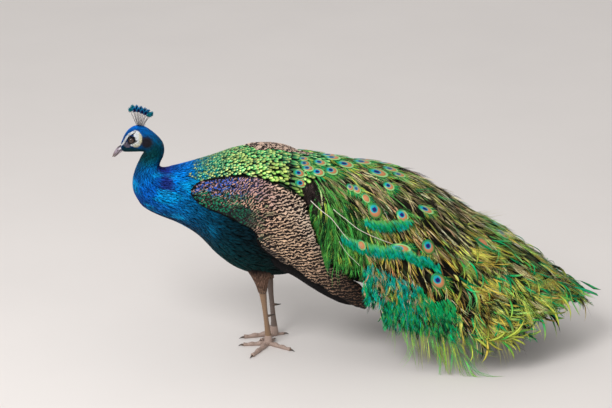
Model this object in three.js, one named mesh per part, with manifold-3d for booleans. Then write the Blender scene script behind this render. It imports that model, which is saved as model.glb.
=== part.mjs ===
/**
 * Indian peacock, standing with its train folded, at life size.
 *
 * Millimetres, +Z up. The bird faces -X and its left side is -Y. It is drawn with X = 0
 * between its feet and Z = 0 at their soles, and the whole group is then moved along X,
 * so that the origin is at the middle of the bottom of its bounding box.
 */
import * as THREE from 'three';
import Module from 'manifold-3d';
import { mergeVertices } from 'three/addons/utils/BufferGeometryUtils.js';

const wasm = await Module();
wasm.setup();

const { Vector3 } = THREE;
const { cos, sin, sqrt, abs, min, max, floor, PI } = Math;
const LEFT = -1;
const RIGHT = 1;
const DEGREE = PI / 180;

// ---------------------------------------------------------------- driving dimensions

const BILL_TIP_X = -346.5;
const TRAIN_TIP_X = 750;
/** Clear space between neighbouring pieces. */
const GAP = 0.4;

/**
 * Stations of the body from the face to the rump. Each is a flat section, from a point on
 * the back to a point on the throat or belly: back x, back z, front x, front z, half width.
 */
const STATIONS = [
  [-327.5, 476, -323.5, 462.5, 7], // 0, root of the bill
  [-315, 504, -311, 462, 13.5], // 1, forehead
  [-297, 520, -296, 462.5, 19], // 2, crown, behind the eye
  [-276, 520, -284.5, 463, 21.5], // 3
  [-255, 506, -276, 462.5, 22], // 4, back of the head
  [-238, 488, -275.5, 458.5, 21.5], // 5, nape and throat
  [-232, 470, -280, 451, 21], // 6
  [-234, 453, -286, 439, 21.5], // 7
  [-242, 435, -294, 421, 23.5], // 8
  [-242, 424, -301, 395, 29], // 9, bend of the neck
  [-230, 419, -299, 367, 38], // 10
  [-210, 423, -280, 336, 48], // 11, root of the neck
  [-188, 428, -247, 317, 59], // 12
  [-165, 434, -200, 298, 71], // 13, shoulders
  [-137, 442, -155, 269, 83], // 14
  [-106, 453, -115, 226, 93], // 15
  [-75, 464, -75, 194, 100], // 16, keel
  [-35, 471, -35, 178, 104], // 17
  [10, 472, 10, 173, 104], // 18, above the feet
  [50, 462, 50, 178, 100], // 19
  [88, 438, 88, 199, 88], // 20
  [122, 412, 122, 232, 70], // 21
  [152, 386, 150, 272, 48], // 22
  [172, 364, 170, 309, 26], // 23, root of the tail
];
const BODY_SIDES = 16;
const RINGS_PER_STATION = 2;
/** The named lengths of the body, each from one station to another. */
const BODY_LENGTHS = [
  ['head', 0, 5],
  ['neck_upper', 5, 8],
  ['neck_lower', 8, 10.5],
  ['breast', 10.5, 14],
  ['trunk', 14, 19.5],
  ['rump', 19.5, 23],
];

/** Bill sections: top x, top z, bottom x, bottom z, half width. */
const BILL = [
  [-328, 476, -324.2, 461.8, 7],
  [-333.5, 472.2, -331, 457, 6.2],
  [-339.3, 465.6, -336.5, 452, 4.6],
  [-343.7, 457.6, -341.2, 448.6, 2.6],
  [BILL_TIP_X, 449.5, -344.4, 447.4, 0.8],
];
const BILL_SIDES = 10;
const BILL_STEPS = 6;
/** How far down the bill's depth its two halves meet, and where the lower half ends. */
const UPPER_BILL_EDGE = 0.66;
const LOWER_BILL_EDGE = 0.72;
const LOWER_BILL_END = 3.2;

const EYE_RADIUS = 7;
const EYE_CENTRE = [-302, 11.2, 492];
const EYE_SEGMENTS = [11, 7];

const CREST = {
  root: [-284, 0, 520], shafts: 12, shaftRadius: 0.6, foremost: -20, rearmost: 43,
  longest: 52, shortest: 45, lean: 7, paddle: [5, 4.2, 1.2], rootRadii: [6, 5, 4],
  overlap: 2,
};

/** Wing ribs, from the wrist to the tip: upper x, upper z, lower x, lower z. */
const WING_RIBS = [
  [-169, 398, -169, 388],
  [-154, 414, -153, 368],
  [-119, 424, -125, 356],
  [-63, 432, -97, 346],
  [-14, 430, -34, 314],
  [34, 412, -22, 278],
  [63, 392, 4, 249],
  [79, 359, 38, 228],
  [95, 312, 72, 205],
  [112, 266, 117, 174],
  [173, 201, 162, 143],
  [220, 153, 196, 117],
  [227, 132, 212, 114],
];
/** Outer face of the folded wing: reach to the side, middle height, half height, thickness. */
const FLANK = [
  [78, 384, 75, 10],
  [98, 349, 115, 26],
  [110, 331, 150, 34],
  [116, 322, 157, 34],
  [115, 304, 150, 28],
  [107, 236, 139, 16],
  [92, 182, 129, 9],
  [72, 129, 118, 6],
];
const FLANK_START = -180;
const FLANK_STEP = 60;
const WING_STEPS = [13, 6];
/** Lower edge of the black flight feathers, which show under the folded wing: x, z. */
const FLIGHT_EDGE = [
  [4, 209], [38, 197], [76, 173], [110, 157], [143, 139], [176, 122], [205, 112],
];
const FLIGHT_INSET = 8;
const FLIGHT_THICKNESS = 4.5;
/** How high the flight feathers reach above their edge, how much less by the tip, and their slant. */
const FLIGHT_HEIGHT = 46;
const FLIGHT_TAPER = 0.45;
const FLIGHT_SLANT = 6;
const FLIGHT_STEPS = [8, 2];

/** Legs: thigh root, hock, foot, and each toe's length, heading from straight ahead, radius. */
const LEGS = [
  {
    side: LEFT, name: 'left', thigh: [-22, 40, 236], hock: [-13, 42, 142], foot: [-1, 26],
    toes: [[57, 6, 4.6], [74, 62, 5], [60, 147, 4.6], [25, 243, 3.6]],
  },
  {
    side: RIGHT, name: 'right', thigh: [-14, 40, 236], hock: [1, 42, 142], foot: [12, 27],
    toes: [[46, -50, 4.4], [71, -14, 5.2], [60, 72, 4.4], [22, 170, 3.4]],
  },
];
/** Level girths of the thigh from its root to the hock: half depth and half width. */
const THIGH_GIRTHS = [[42, 26], [38, 23], [29, 18], [19, 14], [12.5, 11], [9.6, 8.6]];
const THIGH_SIDES = 14;
const SHANK = {
  ankle: 24, halfDepth: 6.8, halfWidth: 5.4, sides: 10,
  swellings: [1.3, 1.18, 0.96, 0.86, 0.84, 0.86, 0.94, 1.12],
};
/** Level sections of the ankle: height, half depth and half width. */
const ANKLE = [[SHANK.ankle - GAP, 7.6, 6], [17, 8.6, 7.6], [9, 9.6, 9], [3, 9, 8.4], [0, 7, 6.6]];
const ANKLE_SIDES = 12;
const SPUR = { height: 75, length: 14, radius: 3.6, drift: 4, rise: 3 };
const CLAW = { length: 12, radius: 2.7, arch: 1.2 };
const TOE_SIDES = 6;
const PHALANX = 22;
const KNUCKLE = 0.12;
const TOE_LIFT = 7;
/** How much of a toe's radius lies above the floor on its underside. */
const TOE_SINK = 0.82;

/** Tail under the train: x, z, half width, drop of the edge, thickness. */
const TAIL = [
  [174, 338, 22, 3, 6],
  [300, 304, 60, 10, 6],
  [420, 259, 95, 20, 5],
  [510, 214, 110, 28, 4],
];
const TAIL_SCALLOP = 8;
const TAIL_STEPS = [5, 6];

/** Train from the back to its tip: x, half width, ridge height, drop to the rim, thickness. */
const TRAIN = [
  [66, 64, 463, 34, 10],
  [94, 88, 455, 55, 13],
  [128, 112, 444, 104, 15],
  [184, 130, 435, 230, 17],
  [245, 148, 425, 294, 18],
  [320, 168, 405, 342, 18],
  [394, 185, 358, 343, 17],
  [460, 194, 309, 311, 16],
  [530, 190, 266, 252, 14],
  [600, 160, 209, 156, 12],
  [660, 112, 157, 82, 10],
  [715, 55, 116, 29, 8],
  [TRAIN_TIP_X, 10, 95, 3, 6],
];
const TRAIN_ARC = 78 * DEGREE;
/** Where the train is divided: along its length by row, and across it from -1 to 1. */
const TRAIN_LENGTHS = [['fore', 0, 4.75], ['mid', 4.75, 7.6], ['rear', 7.6, 12]];
const TRAIN_WIDTHS = [['left', -1, -0.42], ['ridge', -0.42, 0.42], ['right', 0.42, 1]];
const TRAIN_SEAM_STEP = 0.0035;
const TRAIN_RINGS_PER_ROW = 3;
const TRAIN_STEPS_ACROSS = 4;
/** How much thinner the train is at its rim than along its ridge. */
const RIM_THINNING = 0.35;
/** Tips of the train's feathers along its rim: how deep the notches are and how often. */
const RIM_NOTCH = 0.022;
const RIM_WAVES = 1;

// ---------------------------------------------------------------- colours

const finish = (color, roughness, metalness = 0) =>
  new THREE.MeshStandardMaterial({ color, roughness, metalness });

const FINISH = {
  blue: finish(0x0a55b0, 0.45, 0.2),
  mantle: finish(0x4d8a2a, 0.5, 0.2),
  down: finish(0x2a211d, 0.9),
  wing: finish(0x9a8163, 0.8),
  flight: finish(0x17171a, 0.6),
  train: finish(0x2f8a48, 0.5, 0.2),
  tail: finish(0x6b5f55, 0.8),
  thigh: finish(0xa08466, 0.85),
  leg: finish(0xb29a80, 0.6),
  horn: finish(0x8d8478, 0.45),
  claw: finish(0x3a332e, 0.45),
  eye: finish(0x24140c, 0.1),
};

// ---------------------------------------------------------------- curves and solids

/** Smooth value at place s of a list of number rows, passing through row 0, 1, 2 and on. */
function along(rows, s) {
  const last = rows.length - 1;
  const i = min(max(floor(s), 0), last - 1);
  const t = s - i;
  const row = (k) => rows[min(max(k, 0), last)];
  return row(i).map((here, k) => {
    const before = row(i - 1)[k];
    const next = row(i + 1)[k];
    const after = row(i + 2)[k];
    const slope = next - before;
    const bend = 2 * before - 5 * here + 4 * next - after;
    const twist = 3 * here - before - 3 * next + after;
    return here + 0.5 * t * (slope + t * (bend + t * twist));
  });
}

/** Evenly spaced numbers from first to last, steps + 1 of them. */
function spaced(first, last, steps) {
  return Array.from({ length: steps + 1 }, (_, i) => first + ((last - first) * i) / steps);
}

/** A solid from points and triangles, turned so that its faces point outwards. */
function closed(points, triangles) {
  const volume = triangles.reduce(
    (sum, [a, b, c]) => sum + points[a].dot(points[b].clone().cross(points[c])), 0);
  const turned = triangles.map(([a, b, c]) => (volume < 0 ? [a, c, b] : [a, b, c]));
  return new wasm.Manifold(new wasm.Mesh({
    numProp: 3,
    vertProperties: new Float32Array(points.flatMap((p) => p.toArray())),
    triVerts: new Uint32Array(turned.flat()),
  }));
}

/** A solid through a row of rings with equal numbers of points, with a cap at each end. */
function loft(rings) {
  const sides = rings[0].length;
  const points = rings.flat();
  const triangles = [];
  for (let i = 0; i + 1 < rings.length; i += 1) {
    for (let j = 0; j < sides; j += 1) {
      const a = i * sides + j;
      const b = i * sides + ((j + 1) % sides);
      triangles.push([a, b, b + sides], [a, b + sides, a + sides]);
    }
  }
  for (const end of [0, rings.length - 1]) {
    const middle = rings[end]
      .reduce((sum, p) => sum.add(p), new Vector3())
      .divideScalar(sides);
    points.push(middle);
    for (let j = 0; j < sides; j += 1) {
      const a = end * sides + j;
      const b = end * sides + ((j + 1) % sides);
      triangles.push(end === 0 ? [b, a, points.length - 1] : [a, b, points.length - 1]);
    }
  }
  return closed(points, triangles);
}

/** A shell between two faces, each given as a function of u and v from 0 to 1. */
function shell(outer, inner, [uSteps, vSteps]) {
  const rings = spaced(0, 1, uSteps).map((u) => [
    ...spaced(0, 1, vSteps).map((v) => outer(u, v)),
    ...spaced(1, 0, vSteps).map((v) => inner(u, v)),
  ]);
  const sides = rings[0].length;
  const points = rings.flat();
  const triangles = [];
  for (let i = 0; i < uSteps; i += 1) {
    for (let j = 0; j < sides; j += 1) {
      const a = i * sides + j;
      const b = i * sides + ((j + 1) % sides);
      triangles.push([a, b, b + sides], [a, b + sides, a + sides]);
    }
  }
  for (const start of [0, uSteps * sides]) {
    for (let j = 0; j < vSteps; j += 1) {
      const a = start + j;
      const b = start + sides - 1 - j;
      const faces = [[a, b, b - 1], [a, b - 1, a + 1]];
      triangles.push(...(start === 0 ? faces : faces.map(([p, q, r]) => [p, r, q])));
    }
  }
  return closed(points, triangles);
}

/** A solid from a closed three.js geometry. */
function fromGeometry(geometry) {
  geometry.deleteAttribute('normal');
  geometry.deleteAttribute('uv');
  const merged = mergeVertices(geometry);
  return new wasm.Manifold(new wasm.Mesh({
    numProp: 3,
    vertProperties: merged.attributes.position.array,
    triVerts: Uint32Array.from(merged.index.array),
  }));
}

/** A ball or ellipsoid, turned by an optional matrix. */
function ball(centre, radii, [around, high], turn = new THREE.Matrix4()) {
  const geometry = new THREE.SphereGeometry(1, around, high);
  geometry.scale(...radii);
  geometry.applyMatrix4(turn);
  geometry.translate(...centre);
  return fromGeometry(geometry);
}

/** A solid through level ellipses, each given as x, y, z, half depth and half width. */
function stack(rows, sides) {
  return loft(rows.map(([x, y, z, depth, width]) =>
    spaced(0, 2 * PI, sides).slice(1).map((angle) =>
      new Vector3(x + depth * cos(angle), y + width * sin(angle), z))));
}

/** A solid through upright round sections on a path over the floor, flattened at Z = 0. */
function floorLimb(rows, heading, sides) {
  const across = new Vector3(-heading.y, heading.x, 0);
  return loft(rows.map(([x, y, z, radius]) =>
    spaced(0, 2 * PI, sides).slice(1).map((angle) => {
      const point = new Vector3(x, y, z + radius * sin(angle));
      point.addScaledVector(across, radius * cos(angle));
      point.z = max(point.z, 0);
      return point;
    })));
}

/** All of the given solids joined into one. */
const joined = (solids) => solids.reduce((whole, solid) => whole.add(solid));

/** The largest of the separate bodies that a cut leaves. */
function largest(solid) {
  return solid.decompose().sort((a, b) => b.volume() - a.volume())[0];
}

/** A named mesh from a solid. */
function piece(name, solid, material) {
  const { vertProperties, triVerts } = solid.getMesh();
  const geometry = new THREE.BufferGeometry();
  geometry.setAttribute('position', new THREE.BufferAttribute(vertProperties, 3));
  geometry.setIndex(new THREE.BufferAttribute(triVerts, 1));
  geometry.computeVertexNormals();
  const mesh = new THREE.Mesh(geometry, material);
  mesh.name = name;
  return mesh;
}

// ---------------------------------------------------------------- body

/** Ring of the body at station s, all round its flat section, swollen by a margin. */
function bodyRing(s, margin = 0) {
  const [backX, backZ, frontX, frontZ, half] = along(STATIONS, s);
  const middle = new Vector3((backX + frontX) / 2, 0, (backZ + frontZ) / 2);
  const up = new Vector3(backX - frontX, 0, backZ - frontZ).multiplyScalar(0.5);
  up.setLength(up.length() + margin);
  return spaced(0, 2 * PI, BODY_SIDES).slice(1).map((angle) => {
    const point = middle.clone().addScaledVector(up, cos(angle));
    point.y = (half + margin) * sin(angle);
    return point;
  });
}

/** The step along the stations that moves the nearer edge of a section by a distance. */
function stationStep(s, distance) {
  const step = 0.01;
  const before = along(STATIONS, s - step);
  const after = along(STATIONS, s + step);
  const back = Math.hypot(after[0] - before[0], after[1] - before[1]);
  const front = Math.hypot(after[2] - before[2], after[3] - before[3]);
  return (2 * step * distance) / min(back, front);
}

/** A length of the body between two stations. */
function bodyLength(from, to, margin = 0) {
  const steps = Math.ceil((to - from) * RINGS_PER_STATION);
  return loft(spaced(from, to, steps).map((s) => bodyRing(s, margin)));
}

/** The body's named lengths, with a gap at each cut and a socket for each eye. */
function bodyPieces() {
  const lastStation = STATIONS.length - 1;
  return BODY_LENGTHS.map(([name, from, to]) => {
    const start = from > 0 ? from + stationStep(from, GAP / 2) : from;
    const end = to < lastStation ? to - stationStep(to, GAP / 2) : to;
    let solid = bodyLength(start, end);
    if (name === 'head') {
      for (const side of [LEFT, RIGHT]) {
        solid = solid.subtract(eyeBall(side, EYE_RADIUS + GAP));
      }
    }
    const material = { trunk: FINISH.mantle, rump: FINISH.down }[name] ?? FINISH.blue;
    return piece(name, solid, material);
  });
}

// ---------------------------------------------------------------- head

/** An eyeball, or the socket for one. */
function eyeBall(side, radius) {
  const [x, y, z] = EYE_CENTRE;
  return ball([x, side * y, z], [radius, radius, radius], EYE_SEGMENTS);
}

/** Half of the bill, between two parts of its depth and up to one of its sections. */
function billHalf(from, to, end) {
  const rings = spaced(0, end, BILL_STEPS).map((s) => {
    const [topX, topZ, bottomX, bottomZ, half] = along(BILL, s);
    const at = (part) => new Vector3(
      topX + (bottomX - topX) * part, 0, topZ + (bottomZ - topZ) * part);
    const upper = at(from);
    const lower = at(to);
    const middle = upper.clone().lerp(lower, 0.5);
    const up = upper.clone().sub(middle);
    return spaced(0, 2 * PI, BILL_SIDES).slice(1).map((angle) => {
      const point = middle.clone().addScaledVector(up, cos(angle));
      point.y = half * sin(angle);
      return point;
    });
  });
  return loft(rings);
}

/** The two halves of the bill. */
function billPieces() {
  return [
    piece('upper_bill', billHalf(0, UPPER_BILL_EDGE, BILL.length - 1), FINISH.horn),
    piece('lower_bill', billHalf(LOWER_BILL_EDGE, 1, LOWER_BILL_END), FINISH.horn),
  ];
}

/** The fan of upright crest feathers: bare shafts on a small root, with a paddle on each. */
function crestPiece() {
  const root = new Vector3(...CREST.root);
  const solids = [ball(CREST.root, CREST.rootRadii, [8, 5])];
  for (let i = 0; i < CREST.shafts; i += 1) {
    const part = i / (CREST.shafts - 1);
    const angle = (CREST.foremost + (CREST.rearmost - CREST.foremost) * part) * DEGREE;
    const lean = (i % 2 ? 1 : -1) * CREST.lean * DEGREE;
    const length = CREST.longest + (CREST.shortest - CREST.longest) * sin((part * PI) / 2);
    const way = new Vector3(sin(angle) * cos(lean), sin(lean), cos(angle) * cos(lean));
    const turn = new THREE.Matrix4().makeRotationFromQuaternion(
      new THREE.Quaternion().setFromUnitVectors(new Vector3(0, 0, 1), way));
    const [high, wide, thick] = CREST.paddle;
    const reach = length - high + CREST.overlap;
    const shaft = new THREE.CylinderGeometry(CREST.shaftRadius, CREST.shaftRadius, reach, 4);
    shaft.rotateX(PI / 2);
    shaft.translate(0, 0, reach / 2);
    shaft.applyMatrix4(turn);
    shaft.translate(...CREST.root);
    solids.push(fromGeometry(shaft));
    const tip = root.clone().addScaledVector(way, length - high);
    solids.push(ball(tip.toArray(), [wide, thick, high], [6, 3], turn));
  }
  const headSpace = bodyLength(0, 5, GAP);
  return piece('crest', largest(joined(solids).subtract(headSpace)), FINISH.blue);
}

// ---------------------------------------------------------------- wings

/** Distance of the folded wing's outer face from the middle plane at x and z, and its depth. */
function flank(x, z) {
  const [reach, middle, half, depth] = along(FLANK, (x - FLANK_START) / FLANK_STEP);
  const part = min(abs(z - middle) / half, 0.97);
  return { face: reach * sqrt(1 - part * part), depth };
}

/** A folded wing, or the space that it fills with a margin all round. */
function wingSolid(side, margin = 0) {
  const place = (u, v) => {
    const [upperX, upperZ, lowerX, lowerZ] = along(WING_RIBS, u * (WING_RIBS.length - 1));
    const length = Math.hypot(upperX - lowerX, upperZ - lowerZ);
    const part = -margin / length + v * (1 + (2 * margin) / length);
    return [upperX + (lowerX - upperX) * part, upperZ + (lowerZ - upperZ) * part];
  };
  /** Thin at the rim, thick over the body. */
  const swell = (v) => max(sin(PI * v), 0) ** 0.4;
  const outer = (u, v) => {
    const [x, z] = place(u, v);
    const { face } = flank(x, z);
    return new Vector3(x, side * (face + margin), z);
  };
  const inner = (u, v) => {
    const [x, z] = place(u, v);
    const { face, depth } = flank(x, z);
    const rim = 3 + (depth - 3) * swell(v) * min(1, 6 * u + 0.2);
    return new Vector3(x, side * (face - rim - margin), z);
  };
  return shell(outer, inner, WING_STEPS);
}

/** The black flight feathers that show below the folded wing, or their space. */
function flightSolid(side, margin = 0) {
  const steps = FLIGHT_EDGE.length - 1;
  const place = (u, v) => {
    const [x, z] = along(FLIGHT_EDGE, u * steps);
    const lift = FLIGHT_HEIGHT * (1 - FLIGHT_TAPER * u);
    return [x + FLIGHT_SLANT * (1 - v), z + lift * (1 - v) - margin * v];
  };
  const at = (inset) => (u, v) => {
    const [x, z] = place(u, v);
    return new Vector3(x, side * (flank(x, z).face - inset), z);
  };
  const inside = FLIGHT_INSET + FLIGHT_THICKNESS + margin;
  return shell(at(FLIGHT_INSET - margin), at(inside), FLIGHT_STEPS);
}

/** Both wings, each with its flight feathers. */
function wingPieces(bodySpace) {
  return [LEFT, RIGHT].flatMap((side) => {
    const name = side === LEFT ? 'left' : 'right';
    const wing = largest(wingSolid(side).subtract(bodySpace));
    const flight = largest(
      flightSolid(side).subtract(bodySpace).subtract(wingSolid(side, GAP)));
    return [
      piece(`wing_${name}`, wing, FINISH.wing),
      piece(`flight_${name}`, flight, FINISH.flight),
    ];
  });
}

// ---------------------------------------------------------------- legs

/** The feathered thigh, from inside the belly down to the hock. */
function thighSolid({ side, thigh, hock }) {
  const rows = THIGH_GIRTHS.map(([depth, width], i) => {
    const t = i / (THIGH_GIRTHS.length - 1);
    const drop = 1 - (1 - t) ** 1.15;
    const x = thigh[0] + (hock[0] - thigh[0]) * t;
    const y = thigh[1] + (hock[1] - thigh[1]) * t;
    const z = thigh[2] + (hock[2] + GAP - thigh[2]) * drop;
    return [x, side * y, z, depth, width];
  });
  return stack(rows, THIGH_SIDES);
}

/** The bare shank, from the hock down to the ankle. */
function shankSolid({ side, hock, foot }, margin = 0) {
  const rows = SHANK.swellings.map((swelling, i) => {
    const t = i / (SHANK.swellings.length - 1);
    const x = hock[0] + (foot[0] - hock[0]) * t;
    const y = hock[1] + (foot[1] - hock[1]) * t;
    const z = hock[2] + (SHANK.ankle - hock[2]) * t;
    const depth = SHANK.halfDepth * swelling + margin;
    const width = SHANK.halfWidth * swelling + margin;
    return [x, side * y, z, depth, width];
  });
  return stack(rows, SHANK.sides);
}

/** The spur at the back of the shank. */
function spurSolid(leg) {
  const { side, hock, foot } = leg;
  const t = (hock[2] - SPUR.height) / (hock[2] - SHANK.ankle);
  const x = hock[0] + (foot[0] - hock[0]) * t;
  const y = hock[1] + (foot[1] - hock[1]) * t;
  const rings = spaced(0, 1, 3).map((part) => {
    const radius = SPUR.radius * (1 - 0.85 * part);
    const reach = 2 + (SPUR.length + SHANK.halfDepth - 2) * part;
    return spaced(0, 2 * PI, 6).slice(1).map((angle) => new Vector3(
      x + reach,
      side * (y - SPUR.drift * part) + radius * cos(angle),
      SPUR.height + SPUR.rise * part * part + radius * sin(angle)));
  });
  return largest(loft(rings).subtract(shankSolid(leg, GAP)));
}

/** Direction of a toe over the floor, from its angle to straight ahead, outwards positive. */
function toeHeading(side, degrees) {
  return new Vector3(-cos(degrees * DEGREE), side * sin(degrees * DEGREE), 0);
}

/** One toe, swollen at its joints, lying on the floor. */
function toeSolid({ side, foot }, [length, degrees, radius]) {
  const heading = toeHeading(side, degrees);
  const joints = Math.round(length / PHALANX);
  const steps = 2 * joints + 2;
  const rows = spaced(0, 1, steps).map((part) => {
    const knuckle = 1 + KNUCKLE * cos(2 * PI * joints * part);
    const girth = radius * (1 - 0.34 * part) * knuckle;
    const lift = TOE_LIFT * max(0, 1 - 5 * part) ** 2;
    const x = foot[0] + heading.x * length * part;
    const y = side * foot[1] + heading.y * length * part;
    return [x, y, girth * TOE_SINK + lift, girth];
  });
  return floorLimb(rows, heading, TOE_SIDES);
}

/** A foot: the ankle, and four toes that spread from it. */
function footSolid(leg) {
  const { side, foot, toes } = leg;
  const sections = ANKLE.map(([z, depth, width]) => [foot[0], side * foot[1], z, depth, width]);
  const ankle = stack(sections, ANKLE_SIDES);
  return joined([ankle, ...toes.map((toe) => toeSolid(leg, toe))]);
}

/** The claw at the end of a toe. */
function clawSolid({ side, foot }, [length, degrees]) {
  const heading = toeHeading(side, degrees);
  const rows = spaced(0, 1, 3).map((part) => {
    const reach = length + GAP + CLAW.length * part;
    const radius = CLAW.radius * (1 - 0.8 * part);
    const arch = CLAW.arch * sin(PI * part);
    return [
      foot[0] + heading.x * reach,
      side * foot[1] + heading.y * reach,
      CLAW.radius * 0.9 * (1 - part) + radius * part + arch,
      radius,
    ];
  });
  return floorLimb(rows, heading, TOE_SIDES);
}

/** Both legs, from the thighs to the claws. */
function legPieces(bodySpace) {
  const thigh = (leg) => largest(
    thighSolid(leg).subtract(bodySpace).subtract(flightSolid(leg.side, GAP)));
  return LEGS.flatMap((leg) => [
    piece(`thigh_${leg.name}`, thigh(leg), FINISH.thigh),
    piece(`shank_${leg.name}`, shankSolid(leg), FINISH.leg),
    piece(`spur_${leg.name}`, spurSolid(leg), FINISH.claw),
    piece(`foot_${leg.name}`, footSolid(leg), FINISH.leg),
    ...leg.toes.map((toe, i) =>
      piece(`claw_${leg.name}_${i + 1}`, clawSolid(leg, toe), FINISH.claw)),
  ]);
}

// ---------------------------------------------------------------- tail and train

/** The short tail that props the train from below. */
function tailPiece() {
  const at = (face) => (u, v) => {
    const [x, z, half, drop, thickness] = along(TAIL, u * (TAIL.length - 1));
    const across = 2 * v - 1;
    const scallop = u === 1 ? TAIL_SCALLOP * abs(sin(2.5 * PI * across)) : 0;
    return new Vector3(
      x + scallop, half * across, z - drop * across * across + face * thickness * 0.5);
  };
  return piece('tail', shell(at(1), at(-1), TAIL_STEPS), FINISH.tail);
}

/** A point of the train's outer face: row s along it, and v from -1 to 1 across it. */
function trainPoint(s, v) {
  const [x, half, ridge, drop] = along(TRAIN, s);
  const reach = 1 - RIM_NOTCH * v ** 8 * (0.5 + 0.5 * cos(2 * PI * RIM_WAVES * s));
  const angle = v * reach * TRAIN_ARC;
  const fall = (1 - cos(angle)) / (1 - cos(TRAIN_ARC));
  return new Vector3(x, (half * sin(angle)) / sin(TRAIN_ARC), ridge - drop * fall);
}

/** The point under the train's outer face, through its thickness. */
function trainInside(s, v) {
  const step = 0.02;
  const lengthwise = trainPoint(s + step, v).sub(trainPoint(s - step, v));
  const crosswise = trainPoint(s, v + step).sub(trainPoint(s, v - step));
  const inward = crosswise.cross(lengthwise).normalize();
  const thickness = along(TRAIN, s)[4] * (1 - RIM_THINNING * abs(v));
  return trainPoint(s, v).addScaledVector(inward, thickness);
}

/** Nothing of the train reaches below the floor. */
function aboveFloor(point) {
  point.z = max(point.z, 0);
  return point;
}

/** The nine parts of the train, the fore ones cut clear of the given spaces. */
function trainPieces(spaces) {
  const end = TRAIN.length - 1;
  return TRAIN_LENGTHS.flatMap(([lengthName, from, to]) =>
    TRAIN_WIDTHS.map(([widthName, nearer, farther]) => {
      const s0 = from > 0 ? from + TRAIN_SEAM_STEP : from;
      const s1 = to < end ? to - TRAIN_SEAM_STEP : to;
      const at = (face) => (u, v) => {
        const s = s0 + (s1 - s0) * u;
        const seam = GAP / along(TRAIN, s)[1];
        const v0 = nearer > -1 ? nearer + seam : nearer;
        const v1 = farther < 1 ? farther - seam : farther;
        return aboveFloor(face(s, v0 + (v1 - v0) * v));
      };
      const steps = [Math.ceil((to - from) * TRAIN_RINGS_PER_ROW), TRAIN_STEPS_ACROSS];
      let solid = shell(at(trainPoint), at(trainInside), steps);
      for (const space of lengthName === 'fore' ? spaces : []) {
        solid = solid.subtract(space);
      }
      return piece(`train_${widthName}_${lengthName}`, largest(solid), FINISH.train);
    }));
}

// ---------------------------------------------------------------- the whole bird

const bodySpace = bodyLength(0, STATIONS.length - 1, GAP);
const wingSpaces = [wingSolid(LEFT, GAP), wingSolid(RIGHT, GAP)];

const peacock = new THREE.Group();
peacock.add(
  ...bodyPieces(),
  ...billPieces(),
  piece('eye_left', eyeBall(LEFT, EYE_RADIUS), FINISH.eye),
  piece('eye_right', eyeBall(RIGHT, EYE_RADIUS), FINISH.eye),
  crestPiece(),
  ...wingPieces(bodySpace),
  ...legPieces(bodySpace),
  tailPiece(),
  ...trainPieces([bodySpace, ...wingSpaces]),
);
peacock.position.x = -(BILL_TIP_X + TRAIN_TIP_X) / 2;

export default peacock;
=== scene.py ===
"""A still, life-size peacock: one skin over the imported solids, and a coat of solid mesh feathers.

The bird is drawn in millimetres in its own frame: it faces -X, its left side is -Y, X = 0 lies between its
feet and Z = 0 at their soles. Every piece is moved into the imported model's frame, in metres, as it is made.
"""
import logging
from dataclasses import dataclass, field, replace
from enum import Enum
from typing import Callable, Sequence

import bpy
import numpy as np
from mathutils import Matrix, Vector


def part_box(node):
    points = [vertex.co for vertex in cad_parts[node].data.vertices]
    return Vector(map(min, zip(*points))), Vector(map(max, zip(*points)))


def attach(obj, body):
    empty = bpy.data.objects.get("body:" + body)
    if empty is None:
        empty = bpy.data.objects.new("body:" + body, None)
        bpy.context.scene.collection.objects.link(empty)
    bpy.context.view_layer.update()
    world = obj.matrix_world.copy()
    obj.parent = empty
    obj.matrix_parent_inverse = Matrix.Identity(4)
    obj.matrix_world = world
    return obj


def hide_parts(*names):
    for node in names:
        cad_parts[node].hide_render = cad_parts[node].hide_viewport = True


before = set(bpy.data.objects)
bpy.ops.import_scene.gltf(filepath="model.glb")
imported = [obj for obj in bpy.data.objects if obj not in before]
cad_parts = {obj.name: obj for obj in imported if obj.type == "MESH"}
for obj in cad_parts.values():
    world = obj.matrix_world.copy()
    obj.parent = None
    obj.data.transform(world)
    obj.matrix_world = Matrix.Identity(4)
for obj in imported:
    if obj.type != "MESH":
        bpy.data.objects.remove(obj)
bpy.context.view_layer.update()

LOG = logging.getLogger("peacock")

Array = np.ndarray
Random = np.random.Generator
Socket = bpy.types.NodeSocket
Tree = bpy.types.NodeTree
Material = bpy.types.Material

# ---------------- driving dimensions, in millimetres

BILL_TIP_X = -346.5
MILLIMETRE = 0.001
ROW_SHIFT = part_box("upper_bill")[0].x / MILLIMETRE - BILL_TIP_X

# Stations of the body: back x, back z, front x, front z, half width.
STATIONS = np.array([
    (-327.5, 476, -323.5, 462.5, 7),  # root of the bill
    (-315, 504, -311, 462, 13.5),  # forehead
    (-297, 520, -296, 462.5, 19),  # crown
    (-276, 520, -284.5, 463, 21.5),
    (-255, 506, -276, 462.5, 22),
    (-238, 488, -275.5, 458.5, 21.5),  # nape and throat
    (-232, 470, -280, 451, 21),
    (-234, 453, -286, 439, 21.5),
    (-242, 435, -294, 421, 23.5),
    (-242, 424, -301, 395, 29),  # bend of the neck
    (-230, 419, -299, 367, 38),
    (-210, 423, -280, 336, 48),  # root of the neck
    (-188, 428, -247, 317, 59),
    (-165, 434, -200, 298, 71),  # shoulders
    (-137, 442, -155, 269, 83),
    (-106, 453, -115, 226, 93),
    (-75, 464, -75, 194, 100),  # keel
    (-35, 471, -35, 178, 104),
    (10, 472, 10, 173, 104),  # above the feet
    (50, 462, 50, 178, 100),
    (88, 438, 88, 199, 88),
    (122, 412, 122, 232, 70),
    (152, 386, 150, 272, 48),
    (172, 364, 170, 309, 26),  # root of the tail
], float)

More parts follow.
